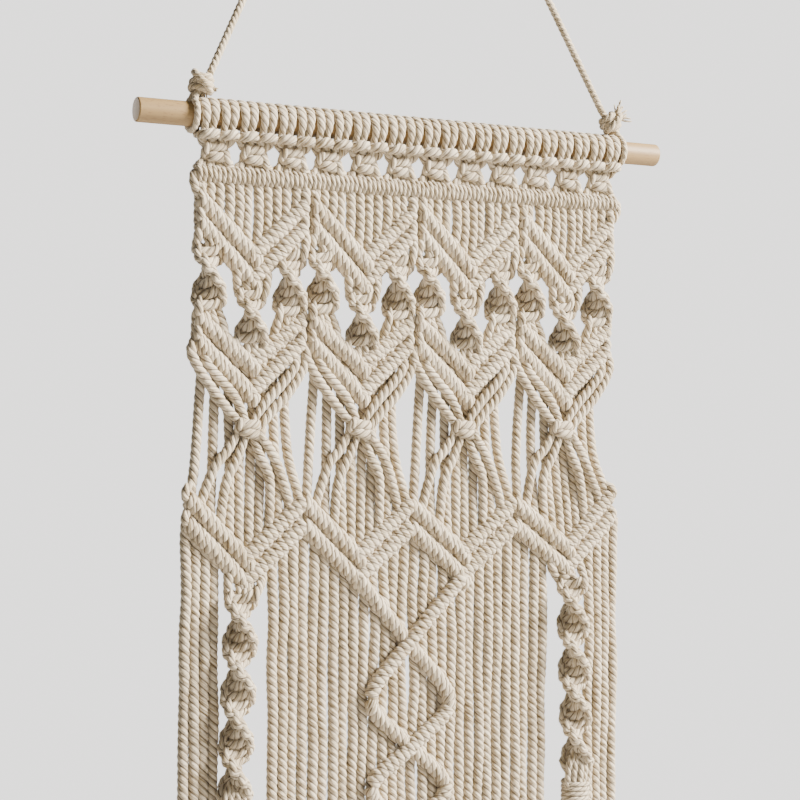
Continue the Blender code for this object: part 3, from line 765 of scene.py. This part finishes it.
tie_chevrons("upper_chevron_hitches", UPPER_CHEVRON, UPPER_HITCH_RADIUS, "upper_chevron")
tie_chevrons("lower_chevron_hitches", LOWER_CHEVRON, LOWER_HITCH_RADIUS, "lower_chevron")

# %% [markdown]
# Half knots tied always from the same side wind themselves into a spiral. At its two edges
# the cords run upright over the ends of the bars, so the spiral has two smooth bright ridges,
# and the bars show in the shaded hollows between them. Each row of the table is turned about
# the spiral's axis by an angle that grows with the way down.

# %% Half-knot twists
KNOT_RISE = 5.6              # height of one half knot, mm
HALF_TURN = 28.5             # height of half a turn of the spiral, mm
TWIST_DEPTH = 9.5            # half depth of a spiral where its edge points to the back
INSIDE_APART, INSIDE_STEPS = 1.9, 12
CLEAR_OF_KNOT = 2.0          # a path has no other row so near to its first or last knot


def half_knot_twist(x_top, x_bottom, top, bottom, turn, over):
    """Rows of the four cords of a spiral: the left and right working cord and the two inside."""
    knots = int(round((top - bottom) / KNOT_RISE))
    rise = (top - bottom) / knots

    def place_of(across, deep, height):
        z = top + (height - 0.5) * rise
        angle = turn + math.pi * (top - z) / HALF_TURN
        aside = across * math.cos(angle) - deep * math.sin(angle)
        back = across * math.sin(angle) + deep * math.cos(angle)
        x = x_top + (x_bottom - x_top) * (top - z) / (top - bottom)
        return (x + aside, off_back(z, TWIST_DEPTH) + back, z), (aside, back, 0.0)

    def inside(side):
        heights = [0.5 - knots * k / INSIDE_STEPS for k in range(INSIDE_STEPS + 1)]
        return [row(*place_of(side * INSIDE_APART, 0.0, height)[0], INSIDE_RADIUS)
                for height in heights]
    under = other_way(over)
    left = tie([((over, under)[knot % 2], 1) for knot in range(knots)], place_of)
    right = tie([((under, over)[knot % 2], 1) for knot in range(knots)], place_of)
    return left, inside(-1), inside(1), right


def rank(cords, k):
    """The place of a cord among the four where they leave the spiral, counted from the left."""
    return sorted(range(len(cords)), key=lambda j: cords[j][-1][0]).index(k)


def enter_twist(x, z, bulge, inside):
    """Rows from a cord's hitch to the spiral, without any that the first knot would pass."""
    rows = [row(x, 1.0, z, FREE_RADIUS), row(x + bulge, -1.6, z - 6.0, FREE_RADIUS)]
    return [r for r in rows if r[2] > inside[0][2] + CLEAR_OF_KNOT]


print("half knots in half a turn:", round(HALF_TURN / KNOT_RISE, 1))

# %% [markdown]
# Each spiral takes in four cords that leave the chevron above it one by one, and lets them
# go again to the four hitches below it. The order of the cords from left to right stays.

# %% Short twists
#                side      x      top     bottom  turn_deg  first cord of four
SHORT_TWISTS = (("left", -26.0, -74.0, -110.0, -24.5, 0),
                ("tip", 0.0, -97.5, -128.0, -26.0, 4),
                ("right", 24.0, -75.0, -111.5, -34.5, 8))
SHORT_BULGES = (-0.5, 0.0, 0.0, 0.5)
for group, middle in enumerate(GROUP_MIDDLES):
    for side, x, top, bottom, turn, first_cord in SHORT_TWISTS:
        cords = half_knot_twist(middle + x, middle + x, top, bottom, math.radians(turn), SHORT_OVER)
        paths = []
        for k, (bulge, inside) in enumerate(zip(SHORT_BULGES, cords)):
            offset, foot = cord_offset(first_cord + k), cord_offset(first_cord + rank(cords, k))
            above = roll_height(UPPER_CHEVRON, offset, -1)
            below = roll_height(LOWER_CHEVRON, foot, 1)
            half_way = ((middle + foot + inside[-1][0]) / 2, -1.0, (bottom + below) / 2)
            leave = [row(*half_way, FREE_RADIUS), row(middle + foot, 0.5, below, FREE_RADIUS)]
            leave = [r for r in leave if r[2] < inside[-1][2] - CLEAR_OF_KNOT]
            paths.append(enter_twist(middle + offset, above, bulge, inside) + inside + leave)
        lay_cords(f"half_knots_{group + 1}_{side}", paths, [f"short_twist_{group + 1}_{side}"])

# %% [markdown]
# The zigzag is the same work as the chevrons, carried on over the whole width. In each of its
# valleys one more hitch closes either row. The list of its hitches also tells where the cords
# above have to arrive.

# %% Zigzag
ZIGZAG = ((-141.0, -223.0), (-106.0, -258.0), (-69.0, -226.0), (-34.5, -258.5),
          (1.5, -229.0), (36.5, -258.5), (74.0, -229.0), (112.5, -257.5), (145.0, -226.0))
ZIGZAG_HALF_HEIGHT = 12.3
ZIGZAG_ROLL = 6.9            # from the middle line up or down to a row's holding cord
ZIGZAG_RADIUS = 3.6
#               inwards depth rise  radius
ZIGZAG_LOOP = ((3.0, 1.5, 8.0, 2.4), (-1.2, -1.5, 5.0, 2.6), (-1.8, -2.0, 0.5, 2.6),
               (1.5, -1.0, -2.5, 2.4), (8.0, 0.0, -8.0, HELD_RADIUS))
VALLEY_PLACE = (1.6, -0.4, -2.8)
VALLEY_RADIUS, VALLEY_PITCH = 3.1, 3.75


def zigzag_middle(x):
    """Height of the zigzag's middle line."""
    return float(np.interp(x, [p[0] for p in ZIGZAG], [p[1] for p in ZIGZAG]))


zigzag_hitches = []          # x of each of the 48 cords
zigzag = []
for (x0, z0), (x1, z1) in zip(ZIGZAG, ZIGZAG[1:]):
    ahead = (x1 - x0, 0.0, z1 - z0) if z1 < z0 else (x0 - x1, 0.0, z0 - z1)
    for k in range(ARM_CORDS):
        share = (k + 0.5) / ARM_CORDS
        x, z = x0 + (x1 - x0) * share, z0 + (z1 - z0) * share
        zigzag_hitches.append(x)
        for roll in (1, -1):
            zigzag.append(hitch((x, 0.0, z + roll * ZIGZAG_ROLL), ahead, ZIGZAG_RADIUS))
        zigzag.append([row(x, 1.0, z + roll * ZIGZAG_ROLL, FREE_RADIUS) for roll in (1, -1)])
    for roll in (1, -1):
        zigzag.append([row(x, 0.0, z + roll * ZIGZAG_ROLL, HELD_RADIUS)
                       for x, z in ((x0, z0), (x1, z1))])
for x, z in ZIGZAG[1::2]:
    aside, deep, rise = VALLEY_PLACE
    for roll in (1, -1):
        zigzag.append(hitch((x + aside, deep, z + roll * ZIGZAG_ROLL + rise), CLOSING_WAY,
                            VALLEY_RADIUS, VALLEY_PITCH))
for (x, z), inwards in ((ZIGZAG[0], 1), (ZIGZAG[-1], -1)):
    for roll in (1, -1):
        zigzag.append([row(x + inwards * aside, deep, z + roll * ZIGZAG_ROLL + rise, thick)
                       for aside, deep, rise, thick in ZIGZAG_LOOP])
lay_cords("zigzag_hitches", zigzag, ["zigzag"])


def arrive(group, k, depth):
    """The end of a cord that goes behind the zigzag's upper roll to its own hitch."""
    x = zigzag_hitches[group * CORDS_PER_GROUP + k]
    z = zigzag_middle(x) + ZIGZAG_ROLL
    return [row(x, depth, z + 7.0, FREE_RADIUS), row(x, 1.5, z, FREE_RADIUS)]


# %% [markdown]
# Under each lower chevron, two cords from either side cross over in front of the rest and are
# gathered in one square knot. The outer ones tie it round the inner ones, and then all four
# part again.

# %% Gathering knots
GATHER_MIDDLE, GATHER_DEPTH = -177.0, -3.0
GATHER_WIDTH, GATHER_RISE, GATHER_TILT = 0.82, 5.0, -0.12
CROSSING_FROM = -134.0       # below this height the crossing cords lie in front
#            a cord's way down to the knot, and on from it, as offsets and heights, and its hitch
CROSSING = ((((-33.0, -126.0), (-36.0, -135.0), (-25.8, -151.0), (-14.8, -164.5)),
             ((-13.0, -189.0), (-21.0, -199.0)), 1),
            (((33.5, -127.0), (34.0, -139.0), (24.2, -156.0), (14.0, -166.5)),
             ((12.5, -188.0), (19.5, -202.0)), 10),
            (((-27.0, -133.0), (-26.5, -140.0), (-17.8, -149.5), (-9.2, -159.0)),
             ((-7.5, -194.0), (-14.0, -208.0)), 3),
            (((28.0, -132.0), (28.0, -140.0), (20.0, -151.0), (10.4, -161.0)),
             ((7.0, -193.0), (13.0, -206.0)), 8))
for group, middle in enumerate(GROUP_MIDDLES):
    paths = []
    inner = square_knot(middle, GATHER_MIDDLE, GATHER_WIDTH, GATHER_RISE, GATHER_DEPTH,
                        tilt=GATHER_TILT + jitter(0.04))
    for (down, on, k), rows in zip(CROSSING, inner):
        before = [row(middle + x, -2.6 if z < CROSSING_FROM else 0.5, z, FREE_RADIUS)
                  for x, z in down]
        after = [row(middle + x, -2.0, z, FREE_RADIUS) for x, z in on]
        paths.append(before + rows + after + arrive(group, k, depth=0.6))
    lay_cords(f"gathering_knot_cords_{group + 1}", paths, [f"gathering_knot_{group + 1}"])

# %% [markdown]
# The eight other cords of each group hang from the lower chevron to the zigzag, behind the
# knot. Their table gives where each one starts, how far aside it is half-way down, and which
# of the group's twelve hitches takes it.

# %% Falling cords
BEHIND = 3.0
FALL_HALF_WAY = -190.0
#              x_top  x_half  cord
FALL_CORDS = ((-27.6, -30.1, 0), (-19.0, -20.0, 2), (-11.0, -10.4, 4), (-4.0, -3.6, 5),
              (4.0, 3.0, 6), (10.6, 9.8, 7), (16.4, 18.8, 9), (22.4, 25.7, 11))
for group, middle in enumerate(GROUP_MIDDLES):
    paths = []
    for x_top, x_half, k in FALL_CORDS:
        top = roll_height(LOWER_CHEVRON, x_top, -1)
        fall = [row(middle + x_top, 1.0, top, FREE_RADIUS),
                row(middle + x_top + jitter(0.4), BEHIND, top - 10.0, FREE_RADIUS),
                row(middle + x_half + jitter(0.8), BEHIND, FALL_HALF_WAY, FREE_RADIUS)]
        paths.append(fall + arrive(group, k, depth=1.5))
    lay_cords(f"falling_cord_lengths_{group + 1}", paths, [f"falling_cords_{group + 1}"])

# %% [markdown]
# In the middle, two rolls of hitches leave the zigzag and cross each other again and again.
# At each crossing the roll that comes down from the right lies in front.

# %% Lattice
LATTICE_LEFT = ((-33.5, -1.8, -266.0), (0.0, -0.6, -304.5), (28.0, -1.8, -341.0),
                (2.0, -3.2, -367.0), (-24.0, -1.8, -390.0), (0.0, -0.6, -417.0))
LATTICE_RIGHT = ((36.3, -1.8, -267.0), (0.0, -3.2, -304.5), (-25.0, -1.8, -338.0),
                 (2.0, -0.6, -367.0), (26.0, -1.8, -393.0), (5.0, -1.8, -416.0))
LATTICE_RADIUS, LATTICE_PITCH = 3.1, 4.2
lattice = []
for turns in (LATTICE_LEFT, LATTICE_RIGHT):
    route = smooth([row(*turn) for turn in turns], LATTICE_PITCH)[0][:, :3]
    lattice.append([row(*point, HELD_RADIUS) for point in route[::3]])
    for k in range(1, len(route) - 1, 2):
        ahead = route[k + 1] - route[k - 1]
        lattice.append(hitch(route[k], ahead, LATTICE_RADIUS, LATTICE_PITCH))
lay_cords("lattice_hitches", lattice, ["lattice"])

# %% [markdown]
# Half-knot spirals again, four half turns long, hang from the tips of the outer chevrons.
# Their four cords come out of the zigzag's lowest hitches, and are tucked into a wrap below.

# %% Long twists
WRAP_TOP, COILS_TOP, WRAP_BOTTOM = -391.0, -397.0, -418.0
BUNDLE_DEPTH = 8.0           # half depth of the wrapped cords
LONG_TWIST_TOP, LONG_TWIST_BOTTOM = -271.2, -387.0
LONG_BULGES = (-1.5, 0.0, 0.0, 1.5)
#               side     x_top   x_bottom  turn_deg  first cord of four
LONG_TWISTS = (("left", -108.8, -112.2, -36.5, 4), ("right", 115.0, 119.5, -46.5, 40))


def tie_long_twist(side, x_top, x_bottom, turn, first_cord):
    """A long spiral, from its hitches on the zigzag to its ends inside the wrap."""
    cords = half_knot_twist(x_top, x_bottom, LONG_TWIST_TOP, LONG_TWIST_BOTTOM,
                            math.radians(turn), LONG_OVER)
    paths = []
    for k, (bulge, inside) in enumerate(zip(LONG_BULGES, cords)):
        x = zigzag_hitches[first_cord + k]
        z = zigzag_middle(x) - ZIGZAG_ROLL
        tucked = row(x_bottom + 0.3 * (inside[-1][0] - x_bottom), off_back(WRAP_TOP, BUNDLE_DEPTH),
                     WRAP_TOP - 6.0, 2.0)
        paths.append(enter_twist(x, z, bulge, inside) + inside + [tucked])
    lay_cords(f"long_half_knots_{side}", paths, [f"long_twist_{side}"])


# %% [markdown]
# Below each long spiral, a separate cord is wound round all its ends: a gathering wrap. Over
# the wrap's top, the last turns of the spiral spread out in a small fan.

# %% Gathering wraps
COILS, CORNERS = 7, 12
COIL_HALF_WIDTH, COIL_HALF_DEPTH, COIL_RADIUS = 8.2, 6.4, 2.3
COIL_THIN = 0.7
#       spread depth rounding rise  radius
FAN = ((0.8, -1.5, 0.0, 13.0, 2.0), (2.6, -4.6, 0.0, 9.0, 2.1), (3.9, -6.2, 1.0, 2.0, 2.2),
       (3.6, -4.5, 1.0, -10.0, 2.1))


def tie_wrap(side, x_bottom):
    """The coils of the wrap, and the fan that hangs over its top."""
    wrap = []
    for k in range(COILS * CORNERS + 1):
        turned = 2 * math.pi * k / CORNERS
        z = COILS_TOP + (WRAP_BOTTOM - COILS_TOP) * k / (COILS * CORNERS)
        away = (math.cos(turned), math.sin(turned), 0.0)
        wrap.append(row(x_bottom + COIL_HALF_WIDTH * away[0],
                        off_back(z, BUNDLE_DEPTH) + COIL_HALF_DEPTH * away[1], z, COIL_RADIUS,
                        press=away, thin=COIL_THIN, wide=COIL_THIN))
    front = off_back(WRAP_TOP, BUNDLE_DEPTH)
    fan = [[row(x_bottom + k * spread, front + deep + abs(k) * rounding, WRAP_TOP + rise, radius)
            for spread, deep, rounding, rise, radius in FAN] for k in range(-2, 3)]
    lay_cords(f"gathering_wrap_{side}", [wrap] + fan, [f"wrapped_knot_{side}"])


# %% [markdown]
# The four cords come out below the wrap as a tassel, and part a little on their way down.

# %% Tassels
FRINGE_BOTTOM = -560.0
TASSEL_CORDS = ((-3.6, -2.4), (3.4, -3.0), (-2.6, 3.0), (3.2, 2.8))
TASSEL_LOW = -500.0


def hang_tassel(side, x_bottom):
    """The tassel's cords, whose places in TASSEL_CORDS are those where they leave the wrap."""
    tassel = []
    for x, y in TASSEL_CORDS:
        start = off_back(WRAP_BOTTOM, BUNDLE_DEPTH) + y
        low_x, end_x = x_bottom + 1.7 * x + jitter(1.0), x_bottom + 1.9 * x
        tassel.append([row(x_bottom + x, start, WRAP_BOTTOM + 4.0),
                       row(x_bottom + 1.3 * x, start, WRAP_BOTTOM - 30.0, FREE_RADIUS),
                       row(low_x, y - 2.0, TASSEL_LOW, FREE_RADIUS),
                       row(end_x, y - 2.0, FRINGE_BOTTOM + jitter(3.0), FREE_RADIUS)])
    lay_cords(f"tassel_cords_{side}", tassel, [f"tassel_{side}"])


for side, x_top, x_bottom, turn, first_cord in LONG_TWISTS:
    tie_long_twist(side, x_top, x_bottom, turn, first_cord)
    tie_wrap(side, x_bottom)
    hang_tassel(side, x_bottom)

# %% [markdown]
# The rest of the cords hang straight down as a fringe. They are not quite even: each one
# strays a little, and no two end at quite the same height.

# %% Fringe
#           name             first    last   cords  spread
FRINGE = (("fringe_left", -140.8, -123.6, 4, -0.8), ("fringe_middle", -87.4, 96.6, 29, 0.0),
          ("fringe_right", 131.4, 149.2, 4, 0.8))
FRINGE_RADIUS = 3.4          # the loose cords have opened a little
FRINGE_DEPTH = 1.3           # the cords' middles lie between this and BEHIND
SWAY_STEP = 27.0             # a cord changes its way a little after so many millimetres
SWAY, LATTICE_SWAY = 0.5, 1.3        # how far it strays, and how far behind the lattice
LATTICE_HALF_WIDTH, LATTICE_BOTTOM = 36.0, -417.0
UNEVEN_END, UNEVEN_BEAT = 1.6, 2.4   # the ends go up and down by so much, in waves
for name, first, last, cords, spread in FRINGE:
    paths = []
    for k in range(cords):
        share = k / (cords - 1)
        x = first + (last - first) * share + jitter(0.35)
        foot = x + spread * (1.0 - share if spread < 0 else share)
        top = zigzag_middle(x) - ZIGZAG_HALF_HEIGHT + 5.0
        bottom = FRINGE_BOTTOM + UNEVEN_END * math.sin(UNEVEN_BEAT * k)
        way = [row(x, 1.5, top, FRINGE_RADIUS)]
        sways = LATTICE_SWAY if abs(x) < LATTICE_HALF_WIDTH else SWAY
        z = top - 12.0
        while z > bottom + SWAY_STEP:
            way.append(row(x + jitter(sways), rng.uniform(FRINGE_DEPTH, BEHIND), z,
                           FRINGE_RADIUS))
            z -= SWAY_STEP if z > LATTICE_BOTTOM else 3.0 * SWAY_STEP
            sways = sways if z > LATTICE_BOTTOM else SWAY
        paths.append(way + [row(foot, BEHIND, bottom, FRINGE_RADIUS)])
    lay_cords(name + "_lengths", paths, [name])

# %% [markdown]
# The hanging cord is thinner, but of the same kind. It is tied in a loop over the hook, and
# its two legs hold the dowel's ends. Each leg is a free cord, laid along its true route.

# %% Hanging cord
HANGING_DEPTH, HOOK_DEPTH = -1.5, 6.0
HANGING_RADIUS = 2.0
LEG_CREST = 2.35             # radius over the plies of a leg, which then measures 4.1 mm
HANGING_LAY, HANGING_STEP = 10.6, 1.4
#               side      x      z
LEG_STARTS = (("left", -132.1, 23.4), ("right", 133.3, 24.0))
LEGS_MEET = (-16.1, 277.8)
LEG_TOP = 260.9
LEG_STEP = 12.0


def leg_route(x, z):
    """Points at even steps from a leg's lower end up towards where both legs would meet."""
    start = np.array((x, HANGING_DEPTH, z))
    meet = np.array((LEGS_MEET[0], HOOK_DEPTH, LEGS_MEET[1]))
    end = start + (meet - start) * (LEG_TOP - z) / (LEGS_MEET[1] - z)
    count = round(float(np.linalg.norm(end - start)) / LEG_STEP)
    return [start + (end - start) * k / count for k in range(count + 1)]


def lay_hanging(name, paths, node):
    """One piece of the thinner cord."""
    return lay_cords(name, paths, [node], lay=HANGING_LAY, step=HANGING_STEP,
                     material=thin_cotton)


for side, x, z in LEG_STARTS:
    route = leg_route(x, z)
    path = [row(*point, LEG_CREST) for point in route]
    leg = lay_hanging(f"hanging_leg_{side}", [path], f"hanging_cord_{side}")
    to_scene(route)

# %% [markdown]
# At the top an overhand knot makes the loop: the two legs come together, go once round
# themselves and rise into the loop over the hook.

# %% Top knot
TOP_KNOT = (-15.3, 265.0)
TOP_LOOP_MIDDLE, TOP_LOOP_HALF = 272.5, (5.8, 7.5)
x, z = TOP_KNOT
loop = [row(x + TOP_LOOP_HALF[0] * math.sin(turn), HOOK_DEPTH,
            TOP_LOOP_MIDDLE - TOP_LOOP_HALF[1] * math.cos(turn), HANGING_RADIUS)
        for turn in (math.radians(degrees) for degrees in range(20, 341, 20))]
#               x      y     z
TOP_TURNS = ((-7.2, -0.6, -3.6), (-3.5, -2.6, -1.6), (2.0, -2.7, 0.4), (6.0, -0.8, 2.6),
             (4.4, 2.0, 4.0), (-2.0, 2.2, 3.4), (-6.0, 0.4, 2.4), (-4.6, -1.8, 3.4),
             (0.4, -2.3, 4.6), (3.6, -0.6, 5.2))
BACK_TURNS = ((7.2, -0.6, -3.2), (3.6, 2.0, -2.6), (-2.4, 2.2, -1.6), (-6.2, 0.2, 0.0),
              (-5.0, -2.0, 1.8), (1.4, -2.6, -3.0), (6.2, -1.6, -0.6), (5.6, 1.0, 1.4))
turns = [[row(x + a, HOOK_DEPTH + b, z + c, HANGING_RADIUS) for a, b, c in table]
         for table in (TOP_TURNS, BACK_TURNS)]
top_loop = lay_hanging("hanging_loop_cords", [loop] + turns, "hanging_loop")

# %% [markdown]
# At the dowel's ends the cord goes round the wood and is knotted round itself: three turns,
# wider in their middle than at their ends, with one more strand laid over them.

# %% Knots at the dowel's ends
#                 side     x       z     loop_x  outwards
HANGING_KNOTS = (("left", -137.3, 16.8, -142.0, -1), ("right", 139.4, 17.2, 145.6, 1))
DOWEL_LOOP_RADIUS = DOWEL_RADIUS + HANGING_RADIUS
KNOT_TURNS, KNOT_CORNERS = 3, 12
KNOT_REACH, KNOT_TAPER = 4.7, 1.6
KNOT_HEIGHT, KNOT_SLANT, KNOT_LEAN = 9.0, 5.0, 1.6
KNOT_CORD_RADIUS, STRAND_RADIUS = 2.3, 2.2
#          outwards depth rise
STRAND = ((-4.0, -3.5, -5.0), (-2.5, -6.0, -2.5), (1.5, -6.6, 1.5), (4.5, -4.0, 5.0),
          (4.0, 0.0, 7.0))


def loop_round_dowel(x, z, loop_x):
    """From the knot over the dowel's front, under it and up its back."""
    rows = [row(x, -1.0, z, HANGING_RADIUS)]
    for degrees in range(60, -241, -25):
        turn = math.radians(degrees)
        rows.append(row(loop_x, -DOWEL_LOOP_RADIUS * math.cos(turn),
                        DOWEL_LOOP_RADIUS * math.sin(turn), HANGING_RADIUS))
    return rows + [row(x, 1.0, z, HANGING_RADIUS)]


def knot_turns(x, z, outwards):
    """Three turns of the cord round its own leg."""
    rows = []
    steps = KNOT_TURNS * KNOT_CORNERS
    for k in range(steps + 1):
        turn, rise = 2 * math.pi * k / KNOT_CORNERS, k / steps - 0.5
        reach = KNOT_REACH - KNOT_TAPER * rise * rise * 4
        rows.append(row(x + reach * math.cos(turn) - outwards * KNOT_SLANT * rise,
                        HANGING_DEPTH + reach * math.sin(turn),
                        z + KNOT_HEIGHT * rise + outwards * KNOT_LEAN * math.cos(turn),
                        KNOT_CORD_RADIUS))
    return rows


print("turns of an end knot:", KNOT_TURNS)

# %% [markdown]
# Beyond each of these knots, the cord's end frays into a small tuft of single yarns. Each
# yarn thins out towards its end and bends its own way.

# %% Frayed ends
#                  start_x start_z  from   to  degrees, length
TUFTS = {"left": (1.5, 0.5, -75.0, -15.0, 6.5), "right": (3.0, 4.0, -15.0, 95.0, 9.0)}
TUFT_FIBRES, FIBRE_RADIUS, FIBRE_TAPER = 16, 0.9, 0.45


def frayed_end(side, x, z):
    """The paths of the yarns of one tuft."""
    start_x, start_z, first, last, fibre = TUFTS[side]
    tuft = []
    for k in range(TUFT_FIBRES):
        slant = math.radians(first + (last - first) * k / (TUFT_FIBRES - 1) + jitter(8.0))
        away = np.array((math.cos(slant), jitter(0.35), math.sin(slant))) * (fibre + jitter(2.0))
        root = np.array((x + start_x, HANGING_DEPTH - 2.5, z + start_z))
        bend = np.array((jitter(0.9), jitter(0.6), jitter(0.9)))
        tuft.append([row(*(root + away * share + bend * share * (1.0 - share) * 4.0),
                         FIBRE_RADIUS - FIBRE_TAPER * share) for share in (0.0, 0.35, 0.7, 1.0)])
    return tuft


print("yarns in a tuft:", TUFT_FIBRES)

# %% [markdown]
# A short link joins the leg to its knot, and the knots at both ends are laid as pieces of
# their own.

# %% Finish the hanging cord
for side, x, z, loop_x, outwards in HANGING_KNOTS:
    leg_x, leg_z = next(start[1:] for start in LEG_STARTS if start[0] == side)
    link = [row(x, HANGING_DEPTH, z - 3.0, 2.6),
            row((x + leg_x) / 2, HANGING_DEPTH, (z + leg_z) / 2, 2.3),
            row(leg_x, HANGING_DEPTH, leg_z, LEG_CREST)]
    strand = [row(x + outwards * across, HANGING_DEPTH + deep, z + rise, STRAND_RADIUS)
              for across, deep, rise in STRAND]
    paths = [loop_round_dowel(x, z, loop_x), link, knot_turns(x, z, outwards), strand]
    lay_hanging(f"hanging_knot_cords_{side}", paths + frayed_end(side, x, z),
                                  f"hanging_knot_{side}")

print(f"all cords {total_length / 1000:.1f} m, {total_triangles} triangles")

# %% [markdown]
# The trefoil has done its work, so it goes. A pale floor lies well below the hanging, out of
# the picture, and brightens the undersides a little.

# %% Floor
FLOOR_HALF_SIZE, FLOOR_HEIGHT = 2.6, -1.7
bpy.data.objects.remove(section)
shape = bmesh.new()
bmesh.ops.create_grid(shape, x_segments=1, y_segments=1, size=FLOOR_HALF_SIZE)
bmesh.ops.translate(shape, verts=shape.verts, vec=(0.0, 0.0, FLOOR_HEIGHT))
mesh = bpy.data.meshes.new("pale_floor")
shape.to_mesh(mesh)
shape.free()
floor_paint = bpy.data.materials.new("pale_floor_paint")
floor_paint.use_nodes = True
matt = floor_paint.node_tree.nodes["Principled BSDF"]
matt.inputs["Base Color"].default_value = linear("#E4E1DC")
matt.inputs["Roughness"].default_value = 0.8
mesh.materials.append(floor_paint)
floor = bpy.data.objects.new("pale_floor", mesh)
bpy.context.scene.collection.objects.link(floor)
print("floor, m below the hook:", -FLOOR_HEIGHT)

# %% [markdown]
# The room is seen as a bright plain background, but it lights the cords only weakly. The light
# path node tells a camera ray from all others, and so one world gives both strengths.

# %% Room
ROOM_SEEN, ROOM_LIGHT = 2.6, 0.05
world = bpy.data.worlds.new("pale_room")
world.use_nodes = True
room = world.node_tree.nodes["Background"]
room.inputs["Color"].default_value = linear("#E8E6E4")
ray = add_node(world.node_tree, "ShaderNodeLightPath")
strength = add_node(world.node_tree, "ShaderNodeMapRange",
                    {"To Min": ROOM_LIGHT, "To Max": ROOM_SEEN},
                    {"Value": ray.outputs["Is Camera Ray"]})
world.node_tree.links.new(strength.outputs["Result"], room.inputs["Strength"])
bpy.context.scene.world = world
print("room strength, seen and as light:", ROOM_SEEN, ROOM_LIGHT)

# %% [markdown]
# Soft light comes from the right and the front, as from a window. A weaker fill stands on the
# left, and a weak light behind keeps the back readable. All three are round area lights,
# whose size in metres sets how soft the shadows are.

# %% Lights


def add_area_light(name, place, target, size, power, colour):
    """A round area light at place that points at target."""
    lamp = bpy.data.lights.new(name, "AREA")
    lamp.shape = "DISK"
    lamp.size = size
    lamp.energy = power
    lamp.color = colour
    item = bpy.data.objects.new(name, lamp)
    item.location = place
    item.rotation_euler = (Vector(target) - Vector(place)).to_track_quat("-Z", "Y").to_euler()
    bpy.context.scene.collection.objects.link(item)


HANGING_MIDDLE = (0.0, 0.0, -0.5)
#          name     place              size power  colour
LIGHTS = (("window", (2.1, -1.4, 0.9), 1.2, 620.0, (1.0, 0.97, 0.94)),
          ("fill", (-1.6, -2.0, -0.2), 1.6, 16.0, (1.0, 0.96, 0.9)),
          ("back", (-0.9, 2.2, 0.3), 1.6, 40.0, (1.0, 0.98, 0.96)))
for name, place, size, power, colour in LIGHTS:
    add_area_light(name, place, HANGING_MIDDLE, size, power, colour)
    print(f"{name}: {power:.0f} W")

# %% [markdown]
# The camera stands where the photograph was taken from: to the left of the hanging, level
# with its upper part, about a metre away. Two turning angles and a small roll were fitted to
# the dowel's ends and the knots.

# %% Camera
CAMERA_FROM_DOWEL = np.array((-500.7, -944.4, -165.4))
YAW, PITCH, ROLL = math.radians(27.53), math.radians(0.32), math.radians(0.48)
FOCAL_PIXELS, FRAME_PIXELS, SENSOR = 1785.0, 800.0, 36.0
NEAREST_SEEN = 0.05          # m
ahead = Vector((math.sin(YAW) * math.cos(PITCH), math.cos(YAW) * math.cos(PITCH),
                math.sin(PITCH)))
level_right = Vector((math.cos(YAW), -math.sin(YAW), 0.0))
level_up = level_right.cross(ahead)
right = level_right * math.cos(ROLL) + level_up * math.sin(ROLL)
up = level_up * math.cos(ROLL) - level_right * math.sin(ROLL)
lens = bpy.data.cameras.new("camera")
lens.sensor_width = SENSOR
lens.lens = FOCAL_PIXELS / FRAME_PIXELS * SENSOR
lens.clip_start = NEAREST_SEEN
camera = bpy.data.objects.new("camera", lens)
turned = Matrix((right, up, -ahead)).transposed().to_4x4()
camera_place = Vector((CAMERA_FROM_DOWEL + DOWEL_FROM_HOOK) * MM)
camera.matrix_world = Matrix.Translation(camera_place) @ turned
bpy.context.scene.collection.objects.link(camera)
bpy.context.scene.camera = camera
print("lens, mm:", round(lens.lens, 1))
